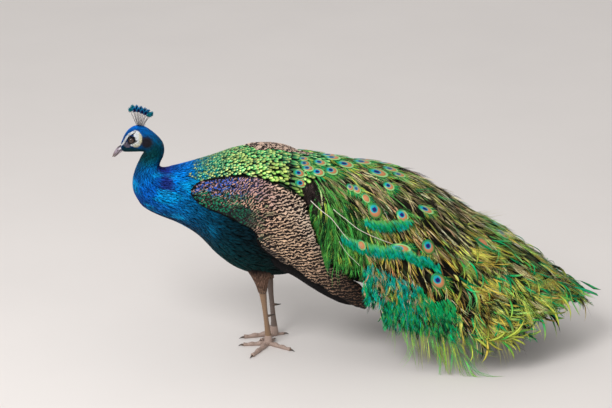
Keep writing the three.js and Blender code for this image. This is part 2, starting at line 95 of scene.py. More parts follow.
# Bill sections: top x, top z, bottom x, bottom z, half width.
BILL = np.array([
    (-328, 476, -324.2, 461.8, 7),
    (-333.5, 472.2, -331, 457, 6.2),
    (-339.3, 465.6, -336.5, 452, 4.6),
    (-343.7, 457.6, -341.2, 448.6, 2.6),
    (BILL_TIP_X, 449.5, -344.4, 447.4, 0.8),
], float)

# Wing ribs, from the wrist to the tip: upper x, upper z, lower x, lower z.
WING_RIBS = np.array([
    (-169, 398, -169, 388), (-154, 414, -153, 368), (-119, 424, -125, 356), (-63, 432, -97, 346),
    (-14, 430, -34, 314), (34, 412, -22, 278), (63, 392, 4, 249), (79, 359, 38, 228),
    (95, 312, 72, 205), (112, 266, 117, 174), (173, 201, 162, 143), (220, 153, 196, 117),
    (227, 132, 212, 114),
], float)
# Outer face of the folded wing every 60 mm: reach to the side, middle height, half height, thickness.
FLANK = np.array([
    (78, 384, 75, 10), (98, 349, 115, 26), (110, 331, 150, 34), (116, 322, 157, 34),
    (115, 304, 150, 28), (107, 236, 139, 16), (92, 182, 129, 9), (72, 129, 118, 6),
], float)
FLANK_START = -180.0
FLANK_STEP = 60.0
# Lower edge of the black flight feathers: x, z.
FLIGHT_EDGE = np.array([
    (4, 209), (38, 197), (76, 173), (110, 157), (143, 139), (176, 122), (205, 112),
], float)
FLIGHT_INSET = 9.0
FLIGHT_SHOW = 46.0

# Tail under the train: x, z, half width, drop of the edge.
TAIL = np.array([(174, 338, 22, 3), (300, 304, 60, 10), (420, 259, 95, 20), (510, 214, 110, 28)], float)

# Train from the back to its tip: x, half width, ridge height, drop to the rim.
TRAIN = np.array([
    (66, 64, 463, 34), (94, 88, 455, 55), (128, 112, 444, 104), (184, 130, 435, 230),
    (245, 148, 425, 294), (320, 168, 405, 342), (394, 185, 358, 343), (460, 194, 309, 311),
    (530, 190, 266, 252), (600, 160, 209, 156), (660, 112, 157, 82), (715, 55, 116, 29),
    (750, 10, 95, 3),
], float)
TRAIN_ARC = np.radians(78)
TRAIN_SINK = 9.5

EYE_CENTRE = np.array([-302, 11.2, 492])
EYE_RADIUS = 7.0
# The least height of feet and claws over the floor.
FLOOR_GAP = 0.02


class Side(Enum):
    """The bird's two sides, by the sign of Y."""

    LEFT = -1
    RIGHT = 1

    @property
    def word(self) -> str:
        """The side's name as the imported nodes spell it."""
        return self.name.lower()


@dataclass(frozen=True)
class Leg:
    """A leg's thigh root, hock and foot, and each toe's length, angle from straight ahead, and radius."""

    thigh: tuple
    hock: tuple
    foot: tuple
    toes: tuple


LEGS = {
    Side.LEFT: Leg((-22, 40, 236), (-13, 42, 142), (-1, 26),
                   ((57, 6, 4.6), (74, 62, 5), (60, 147, 4.6), (25, 243, 3.6))),
    Side.RIGHT: Leg((-14, 40, 236), (1, 42, 142), (12, 27),
                    ((46, -50, 4.4), (71, -14, 5.2), (60, 72, 4.4), (22, 170, 3.4))),
}
THIGH_GIRTHS = np.array([(42, 26), (38, 23), (29, 18), (19, 14), (12.5, 11), (9.6, 8.6)], float)
SHANK_SWELLINGS = np.array([[1.3], [1.18], [0.96], [0.86], [0.84], [0.86], [0.94], [1.12]])
ANKLE_HEIGHT = 24.0
ANKLE = np.array([(23.8, 7.6, 6), (17, 8.6, 7.6), (9, 9.6, 9), (3, 9, 8.4), (0, 7, 6.6)], float)

# ---------------- numbers, curves and colours


def srgb(*values: float) -> Array:
    """Linear colour from screen values of 0 to 255."""
    part = np.asarray(values, float) / 255
    return np.where(part <= 0.04045, part / 12.92, ((part + 0.055) / 1.055) ** 2.4)


def along(rows: Array, place: Array) -> Array:
    """Smooth values at places of a list of number rows.

    Formula: a uniform Catmull-Rom cubic through row 0, 1, 2 and on, its end rows repeated.

    Args:
        rows: the rows, one per whole place.
        place: places, from 0 to the last row.

    Returns:
        One row of numbers for each place.
    """
    place = np.asarray(place, float)
    last = len(rows) - 1
    low = np.clip(np.floor(place).astype(int), 0, last - 1)
    t = (place - low)[..., None]
    before, here, after, beyond = (rows[np.clip(low + k, 0, last)] for k in (-1, 0, 1, 2))
    bend = 2 * before - 5 * here + 4 * after - beyond
    twist = 3 * here - before - 3 * after + beyond
    return here + 0.5 * t * (after - before + t * (bend + t * twist))


def unit(vectors: Array) -> Array:
    """Vectors made one long."""
    return vectors / np.maximum(np.linalg.norm(vectors, axis=-1, keepdims=True), 1e-9)


def ease(low: float, high: float, value: Array) -> Array:
    """Smooth step from 0 at low to 1 at high."""
    t = np.clip((np.asarray(value, float) - low) / (high - low), 0, 1)
    return t * t * (3 - 2 * t)


def mix(first: Array, second: Array, part: Array) -> Array:
    """Colours between two colours, by a part from 0 to 1."""
    part = np.asarray(part, float)[..., None]
    return first * (1 - part) + second * part


def span(ends: tuple, part: Array) -> Array:
    """Value between two ends, by a part from 0 to 1."""
    return ends[0] + (ends[1] - ends[0]) * part


def around(parts: Array, sides: int) -> tuple[Array, Array]:
    """Grids of the parts along a piece and of the angles round it, by ring and side."""
    return np.meshgrid(parts, np.linspace(0, 2 * np.pi, sides, endpoint=False), indexing="ij")


def toe_way(side: Side, degrees: float) -> tuple[Array, Array]:
    """The level way of a toe at an angle from straight ahead, and the way across it."""
    way = np.array([-np.cos(np.radians(degrees)), side.value * np.sin(np.radians(degrees)), 0])
    return way, np.array([-way[1], way[0], 0])


def row_x(*places: float) -> list[float]:
    """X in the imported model's frame, in metres, of places given as the bird's X in millimetres."""
    return [(place + ROW_SHIFT) * MILLIMETRE for place in places]


def on_eye(side: Side, out: Array, tilt: Array, turn: Array) -> Array:
    """Points about an eye's centre.

    Args:
        side: which eye.
        out: distances from the centre.
        tilt: angles from the axis that points out to the side.
        turn: angles about that axis.

    Returns:
        The points.
    """
    x = EYE_CENTRE[0] + out * np.sin(tilt) * np.cos(turn)
    z = EYE_CENTRE[2] + out * np.sin(tilt) * np.sin(turn)
    return np.stack([x, side.value * (EYE_CENTRE[1] + out * np.cos(tilt)), z], -1)


def blended(place: Array, places: Array, colours: Array) -> Array:
    """Colours at places between stops, each channel straight from stop to stop."""
    return np.stack([np.interp(place, places, colours[:, channel]) for channel in range(3)], -1)


def mottle(points: Array, size: float, seed: int) -> Array:
    """Smooth random values from -1 to 1 over space.

    Formula: the mean of eight sine waves of about the given wavelength in random directions.

    Args:
        points: where the values are wanted.
        size: the wavelength, in millimetres.
        seed: picks the waves.

    Returns:
        A value for each point.
    """
    rng = np.random.default_rng(seed)
    waves = unit(rng.normal(size=(8, 3))) * (2 * np.pi / (size * rng.uniform(0.6, 1.6, (8, 1))))
    phase = rng.uniform(0, 2 * np.pi, 8)
    return np.clip(np.sin(points @ waves.T + phase).mean(axis=-1) * 2.2, -1, 1)


def pick(rng: Random, palette: Sequence[tuple], count: int) -> Array:
    """Random colours from a palette.

    Args:
        rng: source of the choice.
        palette: pairs of a screen colour and its weight.
        count: how many are wanted.

    Returns:
        A linear colour for each.
    """
    weights = np.array([weight for _, weight in palette], float)
    colours = np.array([srgb(*colour) for colour, _ in palette])
    return colours[rng.choice(len(palette), count, p=weights / weights.sum())]


# ---------------- surfaces


class Surface:
    """A shape given as a point for each pair of parameters a and b.

    Every point method takes arrays of a and b, and gives the points in millimetres; spot gives their places
    in the OFBake map.
    """

    outward: float = 1.0
    step: float = 0.004

    def point(self, a: Array, b: Array) -> Array:
        """Points of the surface at a and b."""
        raise NotImplementedError

    def spot(self, a: Array, b: Array) -> Array:
        """Place of a and b on the surface's flat unwrap, from 0 to 1 each way."""
        raise NotImplementedError

    def slopes(self, a: Array, b: Array) -> tuple[Array, Array, Array, Array]:
        """Slopes of the surface, by central differences.

        Args:
            a: first parameters.
            b: second parameters.

        Returns:
            The points, the slope by a, the slope by b, and the outward unit normals.
        """
        e = self.step
        by_a = (self.point(a + e, b) - self.point(a - e, b)) / (2 * e)
        by_b = (self.point(a, b + e) - self.point(a, b - e)) / (2 * e)
        return self.point(a, b), by_a, by_b, self.outward * unit(np.cross(by_a, by_b))

    def steer(self, by_a: Array, by_b: Array, way: Array) -> tuple[Array, Array]:
        """Steps of a and b that move one millimetre along the surface, nearest to a way in space.

        Formula: the least squares solution of step_a * slope_a + step_b * slope_b = way, made one long.

        Args:
            by_a: slope by a.
            by_b: slope by b.
            way: the way in space.

        Returns:
            The step of a and the step of b.
        """
        aa, ab, bb = (by_a * by_a).sum(-1), (by_a * by_b).sum(-1), (by_b * by_b).sum(-1)
        ra, rb = (by_a * way).sum(-1), (by_b * way).sum(-1)
        solid = np.maximum(aa * bb - ab * ab, 1e-6)
        step_a, step_b = (ra * bb - rb * ab) / solid, (rb * aa - ra * ab) / solid
        moved = np.linalg.norm(by_a * step_a[..., None] + by_b * step_b[..., None], axis=-1)
        moved = np.maximum(moved, 1e-6)
        return step_a / moved, step_b / moved


class Body(Surface):
    """Head, neck and trunk: a by station, b by angle from the back, positive to the right.

    Formula: each flat section is an ellipse about the middle of its chord from back to front.
    """

    def point(self, a: Array, b: Array) -> Array:
        """Middle of the chord, plus half of it by cos(b), plus the half width by sin(b) along Y.

        Args:
            a: first parameters.
            b: second parameters.

        Returns:
            The points.
        """
        back_x, back_z, front_x, front_z, half = np.moveaxis(along(STATIONS, a), -1, 0)
        high, wide = np.cos(b), np.sin(b)
        x = (back_x + front_x) / 2 + (back_x - front_x) / 2 * high
        z = (back_z + front_z) / 2 + (back_z - front_z) / 2 * high
        return np.stack([x, half * wide, z], -1)

    def spot(self, a: Array, b: Array) -> Array:
        """Station along U and angle along V."""
        return np.stack([0.02 + 0.96 * a / (len(STATIONS) - 1), 0.5 + b / (2.1 * np.pi)], -1)


@dataclass
class Thigh(Surface):
    """A feathered thigh: a from 0 at its root to 1 at the hock, b by angle round level ellipses."""

    side: Side

    def point(self, a: Array, b: Array) -> Array:
        """The ellipse of the thigh's girths about its axis, which drops as 1 - (1 - a) ** 1.15.

        Args:
            a: first parameters.
            b: second parameters.

        Returns:
            The points.
        """
        leg = LEGS[self.side]
        root, hock = np.array(leg.thigh, float), np.array(leg.hock, float)
        a = np.clip(a, 0, 1.2)
        depth, width = np.moveaxis(along(THIGH_GIRTHS, a * (len(THIGH_GIRTHS) - 1)), -1, 0)
        drop = 1 - np.maximum(1 - a, 0) ** 1.15 + np.maximum(a - 1, 0)
        x = root[0] + (hock[0] - root[0]) * a + depth * np.cos(b)
        y = self.side.value * (root[1] + (hock[1] - root[1]) * a) + width * np.sin(b)
        return np.stack([x, y, root[2] + (hock[2] - root[2]) * drop], -1)

    def spot(self, a: Array, b: Array) -> Array:
        """Angle along U and height along V."""
        return np.stack([0.5 + b / (2.1 * np.pi), 0.02 + 0.9 * a], -1)


def flank(x: Array, z: Array) -> tuple[Array, Array]:
    """The folded wing's outer face: its distance from the middle plane at x and z, and its thickness.

    Formula: the reach at x, by the height of a unit circle at z's part of the half height there.

    Args:
        x: places along the bird.
        z: heights.

    Returns:
        The distance and the thickness.
    """
    reach, middle, half, depth = np.moveaxis(along(FLANK, (x - FLANK_START) / FLANK_STEP), -1, 0)
    part = np.minimum(np.abs(z - middle) / half, 0.97)
    return reach * np.sqrt(1 - part * part), depth


@dataclass
class Wing(Surface):
    """The folded wing's outer face: a from the wrist to the tip, b from the upper edge down."""

    side: Side

    @property
    def outward(self) -> float:
        """The sign that turns the normal away from the body."""
        return float(self.side.value)

    def flat(self, a: Array, b: Array) -> tuple[Array, Array]:
        """Side view x and z, on the line between a rib's upper and lower ends."""
        upper_x, upper_z, lower_x, lower_z = np.moveaxis(along(WING_RIBS, a * (len(WING_RIBS) - 1)), -1, 0)
        return upper_x + (lower_x - upper_x) * b, upper_z + (lower_z - upper_z) * b

    def breadth(self, a: Array) -> Array:
        """Length of the line between a rib's ends, in side view."""
        return np.hypot(*(high - low for high, low in zip(self.flat(a, 0), self.flat(a, 1))))

    def point(self, a: Array, b: Array) -> Array:
        """Side view x and z, with Y on the flank."""
        x, z = self.flat(a, b)
        return np.stack([x, self.side.value * flank(x, z)[0], z], -1)

    def inner(self, a: Array, b: Array) -> Array:
        """The face towards the body: thin at the rim, thick over the body.

        Args:
            a: first parameters.
            b: second parameters.

        Returns:
            The points.
        """
        x, z = self.flat(a, b)
        face, depth = flank(x, z)
        rim = 3 + (depth - 3) * np.maximum(np.sin(np.pi * b), 0) ** 0.4 * np.minimum(1, 6 * a + 0.2)
        return np.stack([x, self.side.value * (face - rim), z], -1)

    def spot(self, a: Array, b: Array) -> Array:
        """Length along U and height along V."""
        return np.stack([0.03 + 0.9 * np.clip(a, 0, 1.02), 0.04 + 0.9 * np.clip(b, -0.03, 1.05)], -1)


@dataclass
class Flight(Surface):
    """The sheet of flight feathers below the wing: a along its lower edge, b from 0 on top to 1 there."""

    side: Side

    @property
    def outward(self) -> float:
        """The sign that turns the normal away from the body."""
        return float(self.side.value)

    def point(self, a: Array, b: Array) -> Array:
        """The lower edge lifted by the show, less towards the tip, at the flank less the inset.

        Args:
            a: first parameters.
            b: second parameters.

        Returns:
            The points.
        """
        edge_x, edge_z = np.moveaxis(along(FLIGHT_EDGE, a * (len(FLIGHT_EDGE) - 1)), -1, 0)
        x = edge_x + 6 * (1 - b)
        z = edge_z + FLIGHT_SHOW * (1 - 0.45 * a) * (1 - b)
        return np.stack([x, self.side.value * (flank(x, z)[0] - FLIGHT_INSET), z], -1)

    def spot(self, a: Array, b: Array) -> Array:
        """Length along U and height along V."""
        return np.stack([0.03 + 0.9 * a, 0.05 + 0.9 * b], -1)


class Tail(Surface):
    """The short tail: a by row along it, b from -1 to 1 across it."""

    def point(self, a: Array, b: Array) -> Array:
        """Half width by b, and a drop by its square."""
        x, z, half, drop = np.moveaxis(along(TAIL, a), -1, 0)
        return np.stack([x, half * b, z - drop * b * b], -1)

    def spot(self, a: Array, b: Array) -> Array:
        """Length along U and width along V."""
        return np.stack([0.03 + 0.3 * a, 0.5 + 0.46 * b], -1)


class Train(Surface):
    """The train's outer face: a by row from the back to its tip, b from -1 at the left rim to 1."""

    def point(self, a: Array, b: Array) -> Array:
        """An arch of 78 degrees each way, stretched to the half width and to the drop at the rim.

        The front edge lies lower by the sink, which eases out over the first rows.

        Args:
            a: first parameters.
            b: second parameters.

        Returns:
            The points.
        """
        x, half, ridge, drop = np.moveaxis(along(TRAIN, a), -1, 0)
        ridge = ridge - TRAIN_SINK * (1 - ease(0.2, 2.6, a))
        angle = b * TRAIN_ARC
        fall = (1 - np.cos(angle)) / (1 - np.cos(TRAIN_ARC))
        return np.stack([x, half * np.sin(angle) / np.sin(TRAIN_ARC), ridge - drop * fall], -1)

    def spot(self, a: Array, b: Array) -> Array:
        """Length along U and width along V."""
        row = np.clip(a / (len(TRAIN) - 1), 0, 1)
        return np.stack([0.03 + 0.94 * row, 0.5 + 0.45 * np.clip(b, -1.08, 1.08)], -1)


# ---------------- meshes as arrays


@dataclass
class Shape:
    """Vertices and faces as arrays, with the looks that each vertex carries.

    tint is its colour; vane is its place on its own feather, across from -1 to 1, along from 0 to 1, and a
    random number; grain is the same place in millimetres, along and across, and the random number; patch is
    its place in the OFBake map.
    """

    points: Array
    quads: Array
    triangles: Array
    tint: Array
    vane: Array
    grain: Array
    patch: Array

    @classmethod
    def joined(cls, shapes: Sequence["Shape"]) -> "Shape":
        """All shapes as one.

        Args:
            shapes: the shapes, in order.

        Returns:
            One shape, with each one's faces counted on from the last one's points.
        """
        starts = np.cumsum([0] + [len(shape.points) for shape in shapes[:-1]])
        faces = (
            np.concatenate([getattr(shape, name) + start for shape, start in zip(shapes, starts)])
            for name in ("quads", "triangles")
        )
        looks = (
            np.concatenate([getattr(shape, name) for shape in shapes])
            for name in ("tint", "vane", "grain", "patch")
        )
        return cls(np.concatenate([shape.points for shape in shapes]), *faces, *looks)

    @classmethod
    def plain(cls, points: Array, quads: Array, triangles: Array, tint: Array) -> "Shape":
        """A closed shape with no place on a feather.

        Args:
            points: its points.
            quads: its faces with four corners.
            triangles: its faces with three.
            tint: one colour, or one for each point.

        Returns:
            The shape, with its faces pointing outwards.
        """
        count = len(points)
        tints = np.broadcast_to(tint, (count, 3)).copy()
        blank = (np.zeros((count, numbers)) for numbers in (3, 3, 2))
        return cls(points, quads, triangles, tints, *blank).turned_out()

    @property
    def face_count(self) -> int:
        """Triangles, with two for each four-sided face."""
        return 2 * len(self.quads) + len(self.triangles)

    def turned_out(self) -> "Shape":
        """The same closed shape with its faces pointing outwards.

        Formula: if the sum of the triangles' signed volumes from the origin is below 0, all are reversed.

        Returns:
            The shape itself.
        """
        corners = np.concatenate([self.quads[:, [0, 1, 2]], self.quads[:, [0, 2, 3]], self.triangles])
        a, b, c = (self.points[corners[:, k]] for k in range(3))
        if (a * np.cross(b, c)).sum() < 0:
            self.quads = self.quads[:, ::-1].copy()
            self.triangles = self.triangles[:, ::-1].copy()
        return self


NO_TRIANGLES = np.zeros((0, 3), int)


def loft(rings: Array, tint: Array) -> Shape:
    """A closed shape through rings of points, with a middle point closing each end.

    Args:
        rings: points by ring and by place round the ring.
        tint: one colour, or a colour for each point of the rings.

    Returns:
        The shape.
    """
    count, sides = rings.shape[:2]
    index = np.arange(count * sides).reshape(count, sides)
    beside = np.roll(index, -1, axis=1)
    quads = np.stack([index[:-1], beside[:-1], beside[1:], index[1:]], -1).reshape(-1, 4)
    ends = np.stack([rings[0].mean(0), rings[-1].mean(0)])
    first = np.stack([beside[0], index[0], np.full(sides, count * sides)], -1)
    last = np.stack([index[-1], beside[-1], np.full(sides, count * sides + 1)], -1)
    points = np.concatenate([rings.reshape(-1, 3), ends])
    tint = np.asarray(tint, float)
    if tint.ndim > 1:
        tint = np.concatenate([tint.reshape(-1, 3), tint[0].mean(0)[None], tint[-1].mean(0)[None]])
    return Shape.plain(points, quads, np.concatenate([first, last]), tint)


def shell(outer: Array, inner: Array, tint: Array) -> Shape:
    """A closed sheet between two faces given as grids of points, with strips round its rim.

    Args:
        outer: points of the outer face by row and column.
        inner: the points under them.
        tint: one colour, or a colour for each outer point.

    Returns:
        The shape.
    """
    rows, columns = outer.shape[:2]
    top = np.arange(rows * columns).reshape(rows, columns)
    under = top + rows * columns

    def strip(a: Array, b: Array) -> Array:
        """Faces between two lines of points."""
        return np.stack([a[:-1], a[1:], b[1:], b[:-1]], -1)

    face = np.stack([top[:-1, :-1], top[:-1, 1:], top[1:, 1:], top[1:, :-1]], -1).reshape(-1, 4)
    quads = np.concatenate([
        face, face[:, ::-1] + rows * columns,
        strip(under[0], top[0]), strip(top[-1], under[-1]),
        strip(top[:, 0], under[:, 0]), strip(under[:, -1], top[:, -1]),
    ])
    tint = np.asarray(tint, float)
    if tint.ndim > 1:
        tint = np.concatenate([tint.reshape(-1, 3)] * 2)
    points = np.concatenate([outer.reshape(-1, 3), inner.reshape(-1, 3)])
    return Shape.plain(points, quads, NO_TRIANGLES, tint)


@dataclass
class Lines:
    """The middle lines of a set of feathers: points, unit normals and unit ways, by feather and ring."""

    points: Array
    normals: Array
    ways: Array
    spot: Array
    a: Array | None = None
    b: Array | None = None

    @property
    def across(self) -> Array:
        """Unit vectors across each feather, to the right of its way."""
        return unit(np.cross(self.ways, self.normals))

    def raised(self, lift: Array) -> "Lines":
        """The same lines moved out along their normals by a lift for each ring."""
        return replace(self, points=self.points + self.normals * lift[..., None])

    @classmethod
    def straight(cls, start: Array, way: Array, normal: Array, reach: Array, spot: Array) -> "Lines":
        """Straight lines.

        Args:
            start: where each begins.
            way: each one's unit way.
            normal: each one's unit normal.
            reach: how far along each way its rings lie.
            spot: each one's place in the OFBake map.

        Returns:
            The lines.
        """
        points = start[:, None] + way[:, None] * reach[..., None]
        normals, ways = (np.repeat(value[:, None], reach.shape[-1], 1) for value in (normal, way))
        return cls(points, normals, ways, spot)

    @classmethod
    def laid(cls, surface: Surface, a: Array, b: Array) -> "Lines":
        """Lines through given places of a surface, that point the way a grows, by feather and ring."""
        point, by_a, _, normal = surface.slopes(a, b)
        return cls(point, normal, unit(by_a), surface.spot(a[:, 0], b[:, 0]))


def lengthwise(a: Array, b: Array, part: float, by_a: Array, by_b: Array) -> Array:
    """The way of growing a."""
    return by_a


def march(surface: Surface, a: Array, b: Array, way: Callable | Array, length: Array, parts: Array) -> Lines:
    """Lines that walk over a surface from their roots.

    Formula: at each ring the way is laid into the surface, and a and b move by the share of the length that
    lies before the next ring.

    Args:
        surface: what the lines lie on.
        a: first parameter of each root.
        b: second parameter of each root.
        way: a direction in space for each line, or a function of a, b, the part walked and the two slopes.
        length: millimetres that each line runs.
        parts: the rings' places on each line, from 0 to 1.

    Returns:
        The lines.
    """
    spot = surface.spot(a, b)
    length = np.broadcast_to(length, a.shape)
    points, normals, ways, places = [], [], [], []
    for part, pace in zip(parts, np.append(np.diff(parts), 0)):
        point, by_a, by_b, normal = surface.slopes(a, b)
        heading = way(a, b, part, by_a, by_b) if callable(way) else way
        step_a, step_b = surface.steer(by_a, by_b, heading)
        points.append(point)
        normals.append(normal)
        ways.append(unit(by_a * step_a[:, None] + by_b * step_b[:, None]))
        places.append((a, b))
        a, b = a + np.clip(step_a * length * pace, -0.7, 0.7), b + np.clip(step_b * length * pace, -0.5, 0.5)
    stacked = (np.stack(values, 1) for values in (points, normals, ways))
    return Lines(*stacked, spot, *np.stack(places, -1))


def ribbons(lines: Lines, half: Array, arch: Array, tint: Array, chance: Array, columns: int = 3,
            patch: float = 0.003) -> Shape:
    """Thin closed vanes along lines, each with a flat underside, an arched top and a pointed end.

    Formula: a section's point at q from -1 to 1 is the line's point, plus q half widths across it, plus the
    arch by 1 - q * q along the normal. The last ring is one point.

    Args:
        lines: the middle lines.
        half: half width by feather and ring.
        arch: height of the arch by feather and ring.
        tint: colour by feather and ring.
        chance: a random number for each feather.
        columns: points across the top.
        patch: size of each feather's patch in the OFBake map.

    Returns:
        The vanes as one shape.
    """
    count, rings = half.shape
    q = np.linspace(-1, 1, columns)
    section = lines.points[:, :-1, None] + lines.across[:, :-1, None] * (half[:, :-1, None] * q)[..., None]
    section = section + lines.normals[:, :-1, None] * (arch[:, :-1, None] * (1 - q * q))[..., None]
    points = np.concatenate([section.reshape(count, -1, 3), lines.points[:, -1:]], 1)
    size = points.shape[1]
    grid = np.arange((rings - 1) * columns).reshape(rings - 1, columns)
    beside = np.roll(grid, -1, axis=1)
    quads = np.stack([grid[:-1], beside[:-1], beside[1:], grid[1:]], -1).reshape(-1, 4)
    tip = np.stack([grid[-1], beside[-1], np.full(columns, size - 1)], -1)
    fan = np.arange(1, columns - 1)
    root = np.stack([np.zeros_like(fan), fan + 1, fan], -1)
    start = (np.arange(count) * size)[:, None, None]
    steps = np.linalg.norm(np.diff(lines.points, axis=1), axis=-1)
    gone = np.concatenate([np.zeros((count, 1)), np.cumsum(steps, 1)], 1)
    part = np.linspace(0, 1, rings)

    def spread(per_ring: Array) -> Array:
        """Values by ring, repeated over the columns, with the tip's own at the end."""
        body = np.broadcast_to(per_ring[:, :-1, None], (count, rings - 1, columns)).reshape(count, -1)
        return np.concatenate([body, np.broadcast_to(per_ring[:, -1:], (count, 1))], 1)

    def spread_across(values: Array) -> Array:
        """Values by ring and column, with 0 at the tip."""
        return np.concatenate([values.reshape(count, -1), np.zeros((count, 1))], 1)

    random = np.broadcast_to(chance[:, None], (count, size))
    sideways = spread_across(np.broadcast_to(q, (count, rings - 1, columns)))
    widths = spread_across(half[:, :-1, None] * q)
    lengthways = spread(np.broadcast_to(part, (count, rings)))
    tints = np.stack([spread(np.broadcast_to(tint, (count, rings, 3))[..., k]) for k in range(3)], -1)
    spots = lines.spot[:, None] + patch * np.stack([0.5 * sideways, lengthways - 0.5], -1)
    return Shape(
        points.reshape(-1, 3), (quads + start).reshape(-1, 4),
        (np.concatenate([tip, root]) + start).reshape(-1, 3), tints.reshape(-1, 3),
        np.stack([sideways, lengthways, random], -1).reshape(-1, 3),
        np.stack([spread(gone), widths, random], -1).reshape(-1, 3),
        np.clip(spots, 0.001, 0.999).reshape(-1, 2),
    )


def scatter(surface: Surface, a_range: tuple, b_range: tuple, gaps: tuple, rng: Random,
            jitter: float = 0.25) -> tuple[Array, Array]:
    """Roots in staggered rows over part of a surface.

    Formula: rows lie one gap apart along the middle line, and each row holds its length over the gap.

    Args:
        surface: what the roots lie on.
        a_range: first and last a.
        b_range: first and last b.
        gaps: values of a, and the millimetres between rows and roots there.
        rng: source of the jitter.
        jitter: how far a root may stray, in gaps.

    Returns:
        Arrays of a and of b.
    """
    fine = np.linspace(*a_range, 160)
    across = np.linspace(*b_range, 40)
    grid = surface.point(*np.meshgrid(fine, across, indexing="ij"))
    gap = np.interp(fine, *gaps)
    paces = np.linalg.norm(np.diff(grid, axis=0), axis=-1).mean(1)
    rows = np.concatenate([[0], np.cumsum(paces / (0.5 * (gap[1:] + gap[:-1])))])
    lines = np.interp(np.arange(0.5, rows[-1]), rows, fine)
    breadth = np.interp(lines, fine, np.linalg.norm(np.diff(grid, axis=1), axis=-1).sum(1))
    between = np.interp(lines, fine, gap)
    pace_a = np.interp(lines, fine, np.gradient(fine) / np.maximum(np.gradient(rows), 1e-9))
    all_a, all_b = [], []
    for row, (a, wide, near, pace) in enumerate(zip(lines, breadth, between, pace_a)):
        count = max(int(wide / near), 1)
        part = (np.arange(count) + 0.25 + 0.5 * (row % 2) + rng.uniform(-jitter, jitter, count)) / count
        all_a.append(a + rng.uniform(-jitter, jitter, count) * pace)
        all_b.append(b_range[0] + (b_range[1] - b_range[0]) * part)
    return np.concatenate(all_a), np.concatenate(all_b)


def make_object(name: str, shape: Shape, material: Material,
                nodes: Sequence[str] = ()) -> bpy.types.Object:
    """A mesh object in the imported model's frame, with its looks as attributes and its OFBake map.

    Args:
        name: the piece's name.
        shape: its arrays, in millimetres in the bird's frame.
        material: its finish.
        nodes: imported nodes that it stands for.

    Returns:
        The object, which rides on the root body.
    """
    mesh = bpy.data.meshes.new(name)
    places = (shape.points + np.array([ROW_SHIFT, 0, 0])) * MILLIMETRE
    corners = np.concatenate([shape.quads.ravel(), shape.triangles.ravel()]).astype(np.int32)
    sizes = np.concatenate([np.full(len(shape.quads), 4), np.full(len(shape.triangles), 3)])
    starts = np.concatenate([[0], np.cumsum(sizes)[:-1]]).astype(np.int32)
    mesh.vertices.add(len(places))
    mesh.vertices.foreach_set("co", places.astype(np.float32).ravel())
    mesh.loops.add(len(corners))
    mesh.loops.foreach_set("vertex_index", corners)
    mesh.polygons.add(len(sizes))
    mesh.polygons.foreach_set("loop_start", starts)
    mesh.update(calc_edges=True)
    mesh.polygons.foreach_set("use_smooth", np.ones(len(sizes), bool))
    tint = mesh.attributes.new("tint", "FLOAT_COLOR", "POINT")
    colours = np.concatenate([np.clip(shape.tint, 0, 1), np.ones((len(places), 1))], 1)
    tint.data.foreach_set("color", colours.astype(np.float32).ravel())
    for attribute in ("vane", "grain"):
        values = mesh.attributes.new(attribute, "FLOAT_VECTOR", "POINT")
        values.data.foreach_set("vector", getattr(shape, attribute).astype(np.float32).ravel())
    if shape.patch.any():
        layer = mesh.uv_layers.new(name="OFBake")
        layer.data.foreach_set("uv", shape.patch[corners].astype(np.float32).ravel())
    obj = bpy.data.objects.new(name, mesh)
    bpy.context.scene.collection.objects.link(obj)
    obj.data.materials.append(material)
    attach(obj, "root")
    if nodes:
        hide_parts(*nodes)
    LOG.info("%s: %d triangles", name, shape.face_count)
    return obj


# ---------------- shader maths


def feed(tree: Tree, socket: Socket, value: object) -> None:
    """Links or sets one socket.

    Args:
        tree: the node tree.
        socket: the input to feed.
        value: a Value or an output to link, or a number, colour or vector to set.
    """
    if isinstance(value, Value):
        tree.links.new(value.socket, socket)
    elif isinstance(value, Socket):
        tree.links.new(value, socket)
    elif isinstance(value, (tuple, list, np.ndarray)) and socket.type == "RGBA":
        socket.default_value = (*value[:3], 1)
    else:
        socket.default_value = value


def add_node(tree: Tree, kind: str, settings: dict | None = None, **inputs: object) -> bpy.types.Node:
    """Any node of a tree.

    Args:
        tree: the node tree.
        kind: the node's type after ShaderNode.
        settings: its own settings, which are set first; stops, of place and linear colour, fill its ramp.
        inputs: values or links of its sockets, by name with _ for a space.

    Returns:
        The node.
    """
    node = tree.nodes.new("ShaderNode" + kind)
    for setting, value in (settings or {}).items():
        if setting != "stops":
            setattr(node, setting, value)
            continue
        elements = node.color_ramp.elements
        while len(elements) < len(value):
            elements.new(0.5)
        for element, (place, colour) in zip(elements, value):
            element.position = place
            element.color = (*colour, 1)
    for socket, value in inputs.items():
        feed(tree, node.inputs[socket.replace("_", " ")], value)
    return node


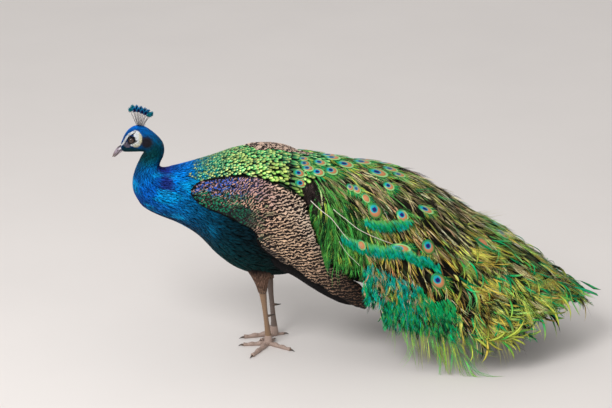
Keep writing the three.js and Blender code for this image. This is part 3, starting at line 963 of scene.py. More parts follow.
class Value:
    """A number socket of a shader: arithmetic on it adds Math nodes."""

    def __init__(self, tree: Tree, socket: Socket) -> None:
        """Wraps a socket of a tree."""
        self.tree = tree
        self.socket = socket

    def math(self, operation: str, *others: "Value | float", swapped: bool = False) -> "Value":
        """One Math node on this value and others.

        Args:
            operation: the node's operation.
            others: further values or numbers.
            swapped: whether the first other value comes before this one.

        Returns:
            The node's result.
        """
        node = add_node(self.tree, "Math", {"operation": operation})
        for socket, value in zip(node.inputs, (*others, self) if swapped else (self, *others)):
            feed(self.tree, socket, value)
        return Value(self.tree, node.outputs[0])

    def __add__(self, other: "Value | float") -> "Value":
        """Sum."""
        return self.math("ADD", other)

    __radd__ = __add__

    def __mul__(self, other: "Value | float") -> "Value":
        """Product."""
        return self.math("MULTIPLY", other)

    __rmul__ = __mul__

    def __sub__(self, other: "Value | float") -> "Value":
        """Difference."""
        return self.math("SUBTRACT", other)

    def __rsub__(self, other: float) -> "Value":
        """Difference from a number."""
        return self.math("SUBTRACT", other, swapped=True)

    def __truediv__(self, other: "Value | float") -> "Value":
        """Quotient."""
        return self.math("DIVIDE", other)

    def __pow__(self, other: float) -> "Value":
        """Power."""
        return self.math("POWER", other)

    def __abs__(self) -> "Value":
        """Size without sign."""
        return self.math("ABSOLUTE")

    def sine(self) -> "Value":
        """Sine."""
        return self.math("SINE")

    def most(self, other: "Value | float") -> "Value":
        """The larger of two."""
        return self.math("MAXIMUM", other)

    def between(self, low: float, high: float) -> "Value":
        """Smooth step from 0 to 1.

        Args:
            low: the value that gives 0.
            high: the value that gives 1.

        Returns:
            The step.
        """
        smooth = {"interpolation_type": "SMOOTHSTEP"}
        node = add_node(self.tree, "MapRange", smooth, Value=self, From_Min=low, From_Max=high)
        return Value(self.tree, node.outputs["Result"])


class Finish:
    """A material under way: its node tree, and the nodes that finishes share."""

    def __init__(self, name: str, **fixed: float) -> None:
        """Starts a material with a Principled shader.

        Args:
            name: the material's name.
            fixed: numbers of its sockets, by name with _ for a space.
        """
        self.material = bpy.data.materials.new(name)
        self.material.use_nodes = True
        self.tree = self.material.node_tree
        self.shader = self.tree.nodes["Principled BSDF"]
        for socket, value in fixed.items():
            self.shader.inputs[socket.replace("_", " ")].default_value = value

    def node(self, kind: str, settings: dict | None = None, **inputs: object) -> bpy.types.Node:
        """Any node of this material, as add_node makes it."""
        return add_node(self.tree, kind, settings, **inputs)

    def attribute(self, name: str, output: str) -> Socket:
        """A mesh attribute."""
        return self.node("Attribute", {"attribute_name": name}).outputs[output]

    def tint(self) -> Socket:
        """The colour that each vertex carries."""
        return self.attribute("tint", "Color")

    def axes(self, vector: Socket) -> list[Value]:
        """The three numbers of a vector."""
        return [Value(self.tree, output) for output in self.node("SeparateXYZ", Vector=vector).outputs]

    def parts(self, name: str) -> list[Value]:
        """The three numbers of a vector attribute."""
        return self.axes(self.attribute(name, "Vector"))

    def place(self) -> Socket:
        """The piece's own coordinates."""
        return self.node("TexCoord").outputs["Object"]

    def noise(self, scale: float, detail: float = 2.0, vector: object = None) -> Value:
        """Noise from 0 to 1 at a scale, over Object coordinates or a given vector."""
        node = self.node("TexNoise", Vector=vector or self.place(), Scale=scale, Detail=detail)
        return Value(self.tree, node.outputs["Fac"])

    def oblique(self, pitch: float, slant: float) -> Value:
        """Stripes from -1 to 1, a pitch apart, that run back from a feather's shaft at a slant."""
        forth, aside, _ = self.parts("grain")
        return ((forth + abs(aside) * slant) * (2 * np.pi / pitch)).sine()

    def blend(self, part: object, first: object, second: object, mode: str = "MIX") -> Socket:
        """Two colours mixed.

        Args:
            part: how much of the second, from 0 to 1.
            first: a colour or a link.
            second: a colour or a link.
            mode: the Mix node's blend mode.

        Returns:
            The mixed colour.
        """
        node = self.node("Mix", {"data_type": "RGBA", "blend_type": mode})
        for index, value in zip((0, 6, 7), (part, first, second)):
            feed(self.tree, node.inputs[index], value)
        return node.outputs[2]

    def dimmed(self, colour: object, amount: Value) -> Socket:
        """A colour multiplied by a grey value."""
        grey = self.node("CombineColor", Red=amount, Green=amount, Blue=amount).outputs[0]
        return self.blend(1.0, colour, grey, "MULTIPLY")

    def bump(self, height: Value, distance: float, strength: float = 1.0) -> None:
        """Feeds a height in millimetres into the shader's normal."""
        node = self.node("Bump", Height=height, Distance=distance * MILLIMETRE, Strength=strength)
        feed(self.tree, self.shader.inputs["Normal"], node.outputs["Normal"])

    def done(self, colour: object, light: Value, roughness: Value | None = None) -> Material:
        """Links the looks.

        Args:
            colour: the base colour, before its light.
            light: the grey that it is multiplied by.
            roughness: the roughness, if it varies.

        Returns:
            The material.
        """
        feed(self.tree, self.shader.inputs["Base Color"], self.dimmed(colour, light))
        if roughness is not None:
            feed(self.tree, self.shader.inputs["Roughness"], roughness)
        return self.material


# ---------------- finishes


@dataclass(frozen=True)
class FeatherFinish:
    """Small body feathers: their own tint, with fine oblique barbs and darker edges."""

    name: str
    roughness: float = 0.45
    metallic: float = 0.25
    barbs: float = 1.3
    contrast: float = 0.4
    edge: float = 0.3
    shine: float = 0.25
    vary: float = 1.1

    def material(self) -> Material:
        """Tint by barb stripes, edge shade and a chance of each feather being lighter or darker.

        Returns:
            The material.
        """
        look = Finish(self.name, Roughness=self.roughness, Metallic=self.metallic, Specular_IOR_Level=0.08)
        across, part, chance = look.parts("vane")
        stripe = look.oblique(self.barbs, 1.3) * 0.5 + 0.5
        rim = abs(across).between(0.55, 1.0).most(part.between(0.72, 1.0)) * self.edge
        light = (1.0 - stripe * self.contrast) * (1.0 - rim) * (chance * self.vary + 1.35 - 0.5 * self.vary)
        rough = look.noise(180.0) * self.shine + (self.roughness - 0.5 * self.shine)
        look.bump(stripe, 0.25)
        return look.done(look.tint(), light, rough)


@dataclass(frozen=True)
class ScaleFinish:
    """Scale feathers of the back: a bright gold-green spot, the tint round it and a broad black rim."""

    name: str
    roughness: float = 0.38
    metallic: float = 0.35
    spot: tuple = (240, 244, 150)
    rim: tuple = (3, 22, 17)
    gold_from: float = -165.0
    gold_to: float = -60.0

    def material(self) -> Material:
        """The distance from the middle of the part that shows picks spot, tint or rim.

        Returns:
            The material.
        """
        look = Finish(self.name, Roughness=self.roughness, Metallic=self.metallic, Specular_IOR_Level=0.2)
        across, part, chance = look.parts("vane")
        along_it = ((part - 0.7) / 0.3).most((0.7 - part) / 0.75)
        off = (across * across + along_it * along_it) ** 0.5
        stripe = look.oblique(1.6, 1.2) * 0.1 + 0.9
        deep = look.dimmed(look.tint(), off.between(0.3, 0.8) * -0.55 + 1.0)
        rearward = look.axes(look.place())[0].between(*row_x(self.gold_from, self.gold_to))
        gold = (1.0 - off.between(0.1, 0.5)) * (rearward * 0.55 + 0.2)
        heart = look.blend(gold, deep, srgb(*self.spot))
        body = look.blend(off.between(0.6, 0.76), heart, srgb(*self.rim))
        look.bump(stripe, 0.3)
        return look.done(body, stripe * (chance * 0.9 + 0.56))


# Blue and green bars only far in front of the bird, for feathers that have none.
NO_SHEEN = {"sheen_from": -900.0, "sheen_to": -800.0}


@dataclass(frozen=True)
class BarFinish:
    """Barred wing feathers: the tint as ground under wavy dark bars, which turn blue and green in front."""

    name: str
    period: float = 7.8
    fine_period: float = 7.0
    rise: float = 0.25
    bow: float = 0.0008
    bar: tuple = (20, 13, 11)
    cover: float = 0.68
    blue: tuple = (44, 84, 172)
    green: tuple = (12, 118, 84)
    sheen_from: float = -110.0
    sheen_to: float = 5.0

    def material(self) -> Material:
        """Bars by the sine of the way along the feather, bent by noise over the whole wing.

        Returns:
            The material.
        """
        look = Finish(self.name, Roughness=0.6, Specular_IOR_Level=0.2)
        across, part, chance = look.parts("vane")
        x, _, z = look.axes(look.place())
        front = 1.0 - (x + look.noise(40.0) * 0.07 - 0.035).between(*row_x(self.sheen_from, self.sheen_to))
        pace = front * (1 / self.fine_period - 1 / self.period) + 1 / self.period
        forward, up = x * (1 / MILLIMETRE) - ROW_SHIFT, z * (1 / MILLIMETRE)
        level = up - forward * self.rise + forward * forward * self.bow
        bent = look.noise(60.0, 2.0) * 13.0 + look.noise(150.0) * 12.0 + chance * 4.0
        wave = ((level + bent) * pace * (2 * np.pi)).sine()
        ragged = look.noise(240.0) * 2.8 - 1.4
        shade = (1.0 - z.between(0.12, 0.28)) * 0.35
        dark = (wave + ragged + shade + front * 0.5 + (self.cover - 0.5) * 2.2).between(-0.12, 0.12)
        rim = abs(across).between(0.82, 1.0).most(part.between(0.93, 1.0)) * 0.5
        fine = look.oblique(1.1, 1.2) * 0.06 + 0.94
        high = (z + look.noise(60.0) * 0.07).between(0.42, 0.445)
        sheen = look.blend(high, srgb(*self.green), srgb(*self.blue))
        bar = look.blend(front * look.noise(210.0).between(0.48, 0.58), srgb(*self.bar), sheen)
        barred = look.blend(dark, look.tint(), bar)
        look.bump(fine, 0.2)
        return look.done(barred, fine * (1.0 - rim) * (chance * 0.3 + 0.88))


@dataclass(frozen=True)
class BarbFinish:
    """Loose barbs of the train: the tint, uneven along each strand."""

    name: str
    roughness: float = 0.45
    metallic: float = 0.25

    def material(self) -> Material:
        """Tint by noise along the strand and by chance.

        Returns:
            The material.
        """
        look = Finish(self.name, Roughness=self.roughness, Metallic=self.metallic, Specular_IOR_Level=0.2)
        _, part, chance = look.parts("vane")
        light = look.noise(140.0, 2.0) * 0.5 + 0.75 + chance * 0.25 + part * 0.1
        return look.done(look.tint(), light)


@dataclass(frozen=True)
class OcellusFinish:
    """An eye of the train: indigo heart, turquoise ring, copper field, gold-green and emerald rims."""

    name: str = "ocellus"

    def material(self) -> Material:
        """Egg-shaped rings, the inner ones nearer the root; the tint's red says how strong the heart is.

        Returns:
            The material.
        """
        look = Finish(self.name, Roughness=0.4, Metallic=0.3, Specular_IOR_Level=0.3)
        forth, aside, chance = look.parts("grain")
        ragged = look.noise(500.0, 2.0) * 0.1 - 0.05
        heart, pool, field, whole = (
            ((forth - middle) * (forth - middle) * long + aside * aside * wide) ** 0.5 + ragged
            for middle, long, wide in (
                (-0.16, 1.0, 1.1), (-0.22, 1.0, 1.0), (0.06, 1.0, 1.0), (0.02, 0.9, 0.95),
            )
        )
        strong = look.node("SeparateColor", Color=look.tint())
        strength, pale = (Value(look.tree, strong.outputs[k]) for k in (0, 1))
        notch = (1.0 - abs(aside).between(0.0, 0.12)) * (1.0 - forth.between(-0.5, -0.25))
        rim = look.blend(pale, srgb(84, 130, 62), srgb(146, 204, 130))
        colour = look.blend(forth.between(-0.8, -0.2), srgb(36, 140, 82), rim)
        colour = look.blend(1.0 - field.between(0.66, 0.76), colour, srgb(178, 122, 76))
        colour = look.blend((1.0 - field.between(0.35, 0.64)) * 0.7, colour, srgb(206, 136, 96))
        colour = look.blend((1.0 - pool.between(0.46, 0.56)) * strength, colour, srgb(0, 160, 172))
        core = (1.0 - (heart + notch * 0.12).between(0.28, 0.36)) * strength
        colour = look.blend(core, colour, srgb(20, 14, 104))
        colour = look.blend(whole.between(0.9, 1.0), colour, srgb(8, 74, 42))
        barbs = ((forth * 3.0 + abs(aside) * 4.0) * 9.0).sine() * 0.08 + 0.94
        look.bump(barbs, 0.2)
        return look.done(colour, barbs * (chance * 0.2 + 0.95))


@dataclass(frozen=True)
class SkinFinish:
    """Bare skin and the ground of the coat: the tint with fine pebbles."""

    name: str = "skin"

    def material(self) -> Material:
        """Tint by noise, with cells as bump.

        Returns:
            The material.
        """
        look = Finish(self.name, Roughness=0.55)
        cells = look.node("TexVoronoi", {"feature": "F1"}, Vector=look.place(), Scale=650.0)
        pebble = Value(look.tree, cells.outputs["Distance"])
        light = look.noise(260.0, 3.0) * 0.3 + 0.85 - pebble * 0.12
        look.bump(pebble, 0.3, 0.6)
        return look.done(look.tint(), light)


@dataclass(frozen=True)
class HornFinish:
    """Horn of the bill and claws: the tint with lengthwise streaks."""

    name: str
    roughness: float = 0.34

    def material(self) -> Material:
        """Tint by noise stretched along the piece.

        Returns:
            The material.
        """
        look = Finish(self.name, Roughness=self.roughness)
        stretched = look.node("Mapping", Vector=look.place(), Scale=(500.0, 1400.0, 900.0)).outputs[0]
        streak = look.noise(1.0, 3.0, stretched)
        look.bump(streak, 0.15, 0.5)
        return look.done(look.tint(), streak * 0.5 + 0.75)


@dataclass(frozen=True)
class EyeFinish:
    """The eyeball: black pupil, brown iris with rays, dark rim."""

    name: str = "eyeball"

    def material(self) -> Material:
        """Rings by the angle from the eye's axis, which is stored as the grain's first number, in degrees.

        Returns:
            The material.
        """
        look = Finish(self.name, Roughness=0.12, Coat_Weight=0.5, Coat_Roughness=0.03)
        off, turn, _ = look.parts("grain")
        rays = (turn * 41.0).sine() * 0.12 + look.noise(1500.0) * 0.4
        stops = (
            (0.0, srgb(6, 5, 6)), (0.2, srgb(8, 6, 6)), (0.24, srgb(50, 22, 12)), (0.36, srgb(80, 38, 22)),
            (0.47, srgb(48, 22, 15)), (0.54, srgb(16, 10, 9)), (1.0, srgb(10, 8, 8)),
        )
        rings = look.node("ValToRGB", {"stops": stops}, Fac=off * (1 / 90))
        return look.done(rings.outputs["Color"], rays + 0.75)


@dataclass(frozen=True)
class StageFinish:
    """The pale matte floor."""

    colour: tuple = (222, 216, 212)

    def material(self) -> Material:
        """A pale ground with very faint clouds.

        Returns:
            The material.
        """
        look = Finish("floor", Roughness=0.9)
        cloud = look.noise(3.0, 4.0)
        return look.done(srgb(*self.colour), cloud * 0.06 + 0.97)


# ---------------- colours of the plumage

# Colours of the body by station: on the back, on the side, and on the throat or belly.
BODY_TINTS = [
    (0, (12, 84, 150), (12, 56, 100), (10, 40, 50)),
    (2, (0, 108, 206), (6, 78, 156), (4, 50, 60)),
    (4, (0, 104, 176), (2, 70, 104), (2, 48, 55)),
    (5, (0, 84, 120), (0, 60, 68), (0, 44, 50)),
    (6, (0, 60, 84), (0, 72, 78), (0, 62, 72)),
    (7, (0, 54, 78), (0, 88, 116), (2, 84, 126)),
    (8, (8, 40, 96), (0, 100, 172), (4, 92, 156)),
    # Station 9 on the back: dark violet, partly the feathers' own, partly painted shade in the crease behind
    # the bend of the neck.
    (9, (30, 22, 108), (0, 108, 194), (4, 84, 164)),
    (10, (4, 76, 184), (2, 98, 200), (6, 76, 160)),
    (11, (0, 106, 206), (2, 110, 206), (14, 46, 104)),
    (12, (0, 114, 204), (0, 124, 208), (18, 24, 54)),
    (13, (0, 122, 180), (0, 106, 166), (8, 16, 26)),
    (14, (0, 120, 120), (0, 74, 108), (0, 38, 52)),
    (15, (20, 120, 70), (0, 46, 62), (0, 54, 56)),
    (16, (30, 120, 50), (0, 32, 42), (0, 52, 52)),
    (17, (40, 120, 40), (6, 22, 30), (0, 44, 42)),
    (18, (40, 110, 40), (10, 17, 22), (4, 28, 28)),
    (19.5, (40, 80, 30), (20, 17, 17), (14, 14, 15)),
    (23, (30, 40, 20), (30, 24, 22), (22, 18, 17)),
]
BODY_PLACES = np.array([row[0] for row in BODY_TINTS], float)
BODY_COLOURS = np.array([[srgb(*colour) for colour in row[1:]] for row in BODY_TINTS])

WHITE_SKIN = srgb(232, 236, 238)
CREAM_SKIN = srgb(214, 204, 150)
DARK_SKIN = srgb(26, 22, 26)
LORE_GREY = srgb(104, 98, 112)
EAR_BROWN = srgb(46, 36, 34)
# The white stripe over the lores and the eye, in side view: x, z, half width.
BROW_STRIPE = np.array([
    (-327, 475, 0.9), (-321, 482, 1.5), (-316, 492, 1.7), (-311, 500.6, 1.8), (-305, 506.2, 2.0),
    (-295, 512.5, 2.6),
])
# The dark line behind the top of the eye.
EYE_LINE = np.array([(-302.5, 503.5, 1.0), (-292.5, 512.4, 0.9)])
# The bare white patch round the rear of the eye: angle from straight back, inner and outer radius.
CHEEK_PATCH = np.array([
    (-112, 10.5, 12), (-90, 9.0, 13.5), (-60, 9.0, 18), (-30, 9.2, 21), (-5, 9.6, 22.5), (30, 10.2, 27),
    (54, 11, 27), (74, 12, 24),
], float)


def line_distance(path: Array, x: Array, z: Array) -> tuple[Array, Array]:
    """Distance in side view from points to a broken line, and the line's half width there.

    Formula: the least over its straight parts of the distance to the nearest point of that part.

    Args:
        path: the line's corners, as x, z and half width.
        x: the points' x.
        z: the points' z.

    Returns:
        The distance and the half width.
    """
    best = np.full(x.shape, np.inf)
    wide = np.zeros(x.shape)
    for (x0, z0, w0), (x1, z1, w1) in zip(path[:-1], path[1:]):
        t = np.clip(((x - x0) * (x1 - x0) + (z - z0) * (z1 - z0)) / ((x1 - x0) ** 2 + (z1 - z0) ** 2), 0, 1)
        off = np.hypot(x - x0 - (x1 - x0) * t, z - z0 - (z1 - z0) * t)
        wide = np.where(off < best, w0 + (w1 - w0) * t, wide)
        best = np.minimum(best, off)
    return best, wide


def patch_reach(x: Array, z: Array) -> Array:
    """How far points lie inside the white cheek patch.

    Formula: the lesser of the ways to its inner and to its outer radius, at the point's angle about the eye.

    Args:
        x: the points' x.
        z: the points' z.

    Returns:
        Millimetres, above 0 inside the patch.
    """
    off = np.hypot(x - EYE_CENTRE[0], z - EYE_CENTRE[2])
    angle = np.degrees(np.arctan2(z - EYE_CENTRE[2], x - EYE_CENTRE[0]))
    inner = np.interp(angle, CHEEK_PATCH[:, 0], CHEEK_PATCH[:, 1], left=99, right=99)
    outer = np.interp(angle, CHEEK_PATCH[:, 0], CHEEK_PATCH[:, 2], left=0, right=0)
    return np.minimum(off - inner, outer - off)


def face_tint(points: Array, tint: Array) -> Array:
    """The markings of the face laid over a body tint.

    Formula: each marking is a smooth step of the distance in side view from its own middle, line or patch,
    and all of them fade out towards the middle plane.

    Args:
        points: places on the head.
        tint: the body tint at them.

    Returns:
        The tint with the markings.
    """
    x, y, z = np.moveaxis(points, -1, 0)
    lateral = ease(3.0, 6.0, np.abs(y))
    off = np.hypot(x - EYE_CENTRE[0], z - EYE_CENTRE[2])
    ear = 0.92 * (1 - ease(0.6, 1.2, np.hypot((x + 270) / 14.5, (z - 491) / 14)))
    tint = mix(tint, EAR_BROWN, ear * lateral)
    jaw = (1 - ease(472, 478, z + 0.12 * (x + 300))) * ease(-326, -320, x) * (1 - ease(-282, -262, x))
    tint = mix(tint, srgb(0, 52, 54), 0.8 * jaw * lateral)
    lore = 1 - ease(0.8, 1.2, np.hypot((x + 313.5) / 7.5, (z - 481) / 7))
    tint = mix(tint, LORE_GREY, lore * lateral)
    tint = mix(tint, DARK_SKIN, (1 - ease(9.6, 11.2, off)) * lateral)
    reach = patch_reach(x, z)
    behind = x - EYE_CENTRE[0]
    below = np.maximum(ease(0, 14, EYE_CENTRE[2] - z) * ease(0, 10, behind), ease(14, 21, behind))
    tint = mix(tint, mix(WHITE_SKIN, CREAM_SKIN, 0.75 * below), ease(-0.3, 0.6, reach) * lateral)
    stripe, half = line_distance(BROW_STRIPE, x, z)
    tint = mix(tint, WHITE_SKIN, (1 - ease(half - 0.3, half + 0.5, stripe)) * lateral)
    line, half = line_distance(EYE_LINE, x, z)
    return mix(tint, DARK_SKIN, (1 - ease(half - 0.2, half + 0.5, line)) * lateral)


def body_tint(a: Array, b: Array, points: Array) -> Array:
    """Colour of the body at a station and an angle, with the face's markings, soft patches, painted shade
    behind the bend of the neck and painted highlights on the neck and breast.

    Formula: stops along the stations on back, side and belly, eased between the three by the angle.

    Args:
        a: stations.
        b: angles from the back.
        points: the places that they give.

    Returns:
        The colours.
    """
    turn = np.abs((b + np.pi) % (2 * np.pi) - np.pi) / np.pi
    back, side, belly = (blended(a, BODY_PLACES, BODY_COLOURS[:, k]) for k in range(3))
    tint = mix(mix(back, side, ease(0.05, 0.42, turn)), belly, ease(0.5, 0.92, turn))
    x, _, z = np.moveaxis(points, -1, 0)
    # Violet patch behind the bend of the neck: partly the feathers' own violet, partly painted shade in the
    # crease where the neck meets the shoulders.
    throat = (1 - ease(0.5, 1.2, np.hypot((x + 232) / 16, (z - 398) / 26))) * ease(8, 9.5, a)
    tint = mix(tint, srgb(40, 20, 112), 0.75 * throat)
    patches = mottle(points, 34, 5)
    tint = tint * (1 + 0.28 * patches)[..., None]
    # Painted highlight: soft bright azure patches on the lower neck and breast, away from the back, for the
    # feathers' sheen.
    painted_gleam = ease(0.25, 0.8, mottle(points * np.array([1.0, 1.0, 1.6]), 42, 9))
    painted_gleam = painted_gleam * ease(6.5, 8, a) * (1 - ease(13, 15, a))
    tint = mix(tint, srgb(0, 164, 230), 0.7 * painted_gleam * ease(0.12, 0.3, turn))
    return np.where((a < 5.2)[..., None], face_tint(points, tint), tint)


# ---------------- feathers on surfaces

# Outlines of feathers: place along them, part of the half width.
NARROW = np.array([(0, 0.5), (0.3, 1), (0.65, 0.86), (1, 0)])
ROUND = np.array([(0, 0.4), (0.25, 0.75), (0.5, 0.96), (0.75, 1), (0.9, 0.8), (0.97, 0.48), (1, 0)])
STRAND = np.array([(0, 0.7), (0.35, 1), (0.7, 0.75), (1, 0)])


@dataclass
class Growth:
    """How one kind of feather grows.

    length, half width and lift are pairs: the least and the most, or at the root and at the tip for the lift.
    arch is a part of the half width, columns are points across, and stray and uneven spread way and size.
    """

    length: tuple
    half: tuple
    outline: Array = field(default_factory=lambda: NARROW)
    lift: tuple = (0.1, 1.2)
    arch: float = 0.35
    columns: int = 3
    stray: float = 0.12
    patch: float = 0.003
    uneven: float = 0.16

    def on(self, surface: Surface, roots: tuple, way: Callable | Array, tints: tuple, rng: Random,
           size: Array | float = 0.5, limit: Array | float = np.inf) -> Shape:
        """Feathers from roots on a surface.

        Args:
            surface: what they lie on.
            roots: arrays of a and b.
            way: the direction that they point in.
            tints: colours at the root and at the tip.
            rng: source of their unevenness.
            size: from 0 for the least of the length and half width to 1 for the most.
            limit: the most that each may be long.

        Returns:
            The feathers as one shape.
        """
        a, b = roots
        parts = self.outline[:, 0]
        size = np.clip(np.broadcast_to(size, a.shape) + rng.normal(0, self.uneven, a.shape), -0.2, 1.2)
        length = np.minimum(span(self.length, size), limit)
        turn = rng.normal(0, self.stray, (*a.shape, 3))

        def strayed(a_now: Array, b_now: Array, part: float, by_a: Array, by_b: Array) -> Array:
            """The way, turned a little for each feather."""
            heading = way(a_now, b_now, part, by_a, by_b) if callable(way) else way
            return unit(heading) + turn

        lines = march(surface, a, b, strayed, length, parts)
        rise = span(self.lift, parts) + rng.uniform(0, 0.25, a.shape)[:, None]
        root, tip = (np.broadcast_to(colour, (len(a), 3))[:, None] for colour in tints)
        halves = span(self.half, size)[:, None] * self.outline[:, 1]
        return ribbons(lines.raised(rise), halves, halves * self.arch, mix(root, tip, parts),
                       rng.random(len(a)), self.columns, self.patch)


def inside(outline: Array, x: Array, z: Array) -> Array:
    """Whether points lie in a closed outline, by the even-odd rule.

    Formula: a point is inside if a level line from it crosses the outline an odd number of times.

    Args:
        outline: the outline's corners, as x and z.
        x: the points' x.
        z: the points' z.

    Returns:
        True for each point inside.
    """
    within = np.zeros(x.shape, bool)
    for (x0, z0), (x1, z1) in zip(outline, np.roll(outline, -1, axis=0)):
        crosses = (z0 > z) != (z1 > z)
        within ^= crosses & (x < x0 + (x1 - x0) * (z - z0) / (z1 - z0 if z1 != z0 else 1e-9))
    return within


def under_wing(points: Array, margin: float) -> Array:
    """Whether body points lie behind a folded wing in side view.

    Args:
        points: the points.
        margin: how far inside the wing's edges they have to lie.

    Returns:
        True for each point behind it.
    """
    wing = Wing(Side.LEFT)
    a = np.linspace(0.02, 0.98, 40)
    cut = np.clip(margin / wing.breadth(a), 0, 0.45)
    upper = np.stack(wing.flat(a, cut), -1)
    lower = np.stack(wing.flat(a, 1 - cut), -1)
    return inside(np.concatenate([upper, lower[::-1]]), points[..., 0], points[..., 2])


def chosen(roots: tuple, keep: Array) -> tuple:
    """The roots that are kept."""
    return roots[0][keep], roots[1][keep]


# ---------------- skin


@dataclass
class Skin:
    """One skin over head, neck, trunk, thighs, shanks and feet, a coat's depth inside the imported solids."""

    # How deep the skin lies under the body's surface, by station.
    depths: tuple = ((0, 0.7), (4.5, 1.0), (6, 1.8), (10, 2.6), (14, 3.6), (23, 4.2))
    head_end: int = 5
    head_rings: int = 95
    trunk_rings: int = 135
    sides: int = 96
    lid_start: float = 6.2
    lid_reach: float = 11.0
    opening: float = 5.4
    lid_girth: tuple = (0.75, 0.25)
    leg_sides: int = 22
    shank_depth: float = 6.8
    shank_width: float = 5.4
    scute: float = 5.4
    toe_scute: float = 3.4
    toe_girth: float = 1.3
    joint_gap: float = 22.0
    thigh_tint: tuple = (92, 72, 60)
    behind_tint: tuple = (120, 98, 82)
    # Scutes of the near leg, and the darker, greyer ones of the far leg, which are painted shade.
    pale_scute: tuple = (146, 116, 88)
    shaded_scute: tuple = (112, 98, 92)
    toe_tint: tuple = (170, 147, 135)
    seam_tint: tuple = (104, 84, 70)

    def trunk(self) -> Shape:
        """Head to rump: the body's surface moved in by the coat's depth, with hollows for the eyes.

        Returns:
            The shape, with more rings on the head.
        """
        head = np.linspace(0, self.head_end, self.head_rings)
        trunk = np.linspace(self.head_end, len(STATIONS) - 1, self.trunk_rings)
        a, b = around(np.concatenate([head, trunk[1:]]), self.sides)
        points, _, _, normals = Body().slopes(a, b)
        points = points - normals * np.interp(a, *np.array(self.depths).T)[..., None]
        return loft(self.opened(points), body_tint(a, b, points))

    def opened(self, points: Array) -> Array:
        """The skin drawn over each eyeball and in under its rim.

        Formula: inside the opening Y lies 2.5 mm under the ball, round it 0.5 mm over the ball, and from
        there it eases back to the skin's own Y at the lid's reach.

        Args:
            points: the skin without eyes.

        Returns:
            The points moved.
        """
        x, y, z = np.moveaxis(points, -1, 0)
        off = np.hypot(x - EYE_CENTRE[0], (z - EYE_CENTRE[2]) * 1.12)
        ball, sunk = (
            EYE_CENTRE[1] + np.sqrt(np.maximum((EYE_RADIUS + over) ** 2 - off**2, 0)) for over in (0.5, -2.5)
        )
        lid = np.where(off < self.opening, sunk, ball)
        near = (1 - ease(self.lid_start, self.lid_reach, off)) * (np.abs(y) > 6)
        return np.stack([x, np.sign(y) * (np.abs(y) * (1 - near) + lid * near), z], -1)

    def lids(self, side: Side) -> Shape:
        """The rim of the lids, thicker above.

        Formula: a tube round the opening, whose middle line lies on the ball at 49 degrees from its axis, and
        3.5 more before and behind.

        Args:
            side: which eye.

        Returns:
            The closed ring.
        """
        turn, round_tube = around(np.linspace(0, 2 * np.pi, 48, endpoint=False), 8)
        girth = self.lid_girth[0] + self.lid_girth[1] * np.sin(turn)
        out = EYE_RADIUS + 0.3 + girth * np.cos(round_tube)
        tilt = np.radians(49 + 3.5 * np.cos(2 * turn)) + girth * np.sin(round_tube) / EYE_RADIUS
        rings = on_eye(side, out, tilt, turn)
        index = np.arange(turn.size).reshape(turn.shape)
        next_ring, beside = np.roll(index, -1, 0), np.roll(index, -1, 1)
        quads = np.stack([index, beside, np.roll(next_ring, -1, 1), next_ring], -1).reshape(-1, 4)
        return Shape.plain(rings.reshape(-1, 3), quads, NO_TRIANGLES, DARK_SKIN)

    def thigh(self, side: Side) -> Shape:
        """The thigh under its feathers, deepest at its root.

        Args:
            side: which leg.

        Returns:
            The thigh.
        """
        a, b = around(np.linspace(-0.05, 1.05, 30), 28)
        points, _, _, normals = Thigh(side).slopes(a, b)
        return loft(points - normals * (0.5 + 2.2 * (1 - ease(0.5, 1, a)))[..., None], srgb(*self.thigh_tint))

    def shank(self, side: Side) -> Shape:
        """The bare shank, with a row of scutes in front and small scales behind.

        Formula: ellipses about the line from hock to foot, swollen by place; each scute falls away downwards
        to a seam, and the two columns of scutes are half a scute apart.

        Args:
            side: which leg.

        Returns:
            The shank.
        """
        leg = LEGS[side]
        hock, foot = np.array(leg.hock, float), np.array((*leg.foot, ANKLE_HEIGHT), float)
        part, b = around(np.linspace(-0.06, 1.06, 140), self.leg_sides)
        middle = hock + (foot - hock) * part[..., None]
        swelling = along(SHANK_SWELLINGS, np.clip(part, 0, 1) * (len(SHANK_SWELLINGS) - 1))[..., 0]
        height = middle[..., 2]
        front = ease(0.2, 0.6, -np.cos(b))
        scute = (height / self.scute + 0.5 * (np.sin(b) > 0)) % 1
        scale = 0.5 + 0.5 * np.sin(height * 2.1) * np.sin(b * 7)
        girth = swelling * (0.95 + 0.05 * front * (1 - scute) ** 0.6 + 0.02 * (1 - front) * scale)
        x = middle[..., 0] + self.shank_depth * girth * np.cos(b)
        y = side.value * middle[..., 1] + self.shank_width * girth * np.sin(b)
        # The far leg gets the darker, greyer scute colour: painted shade.
        pale = self.pale_scute if side is Side.LEFT else self.shaded_scute
        seam = np.maximum(front * ease(0.78, 0.95, scute), (1 - front) * 0.35 * (1 - scale))
        tint = mix(srgb(*pale), srgb(*self.seam_tint), seam)
        tint = mix(tint, srgb(*self.behind_tint), 0.5 * ease(0.0, 0.8, np.cos(b)))
        return loft(np.stack([x, y, height], -1), tint)

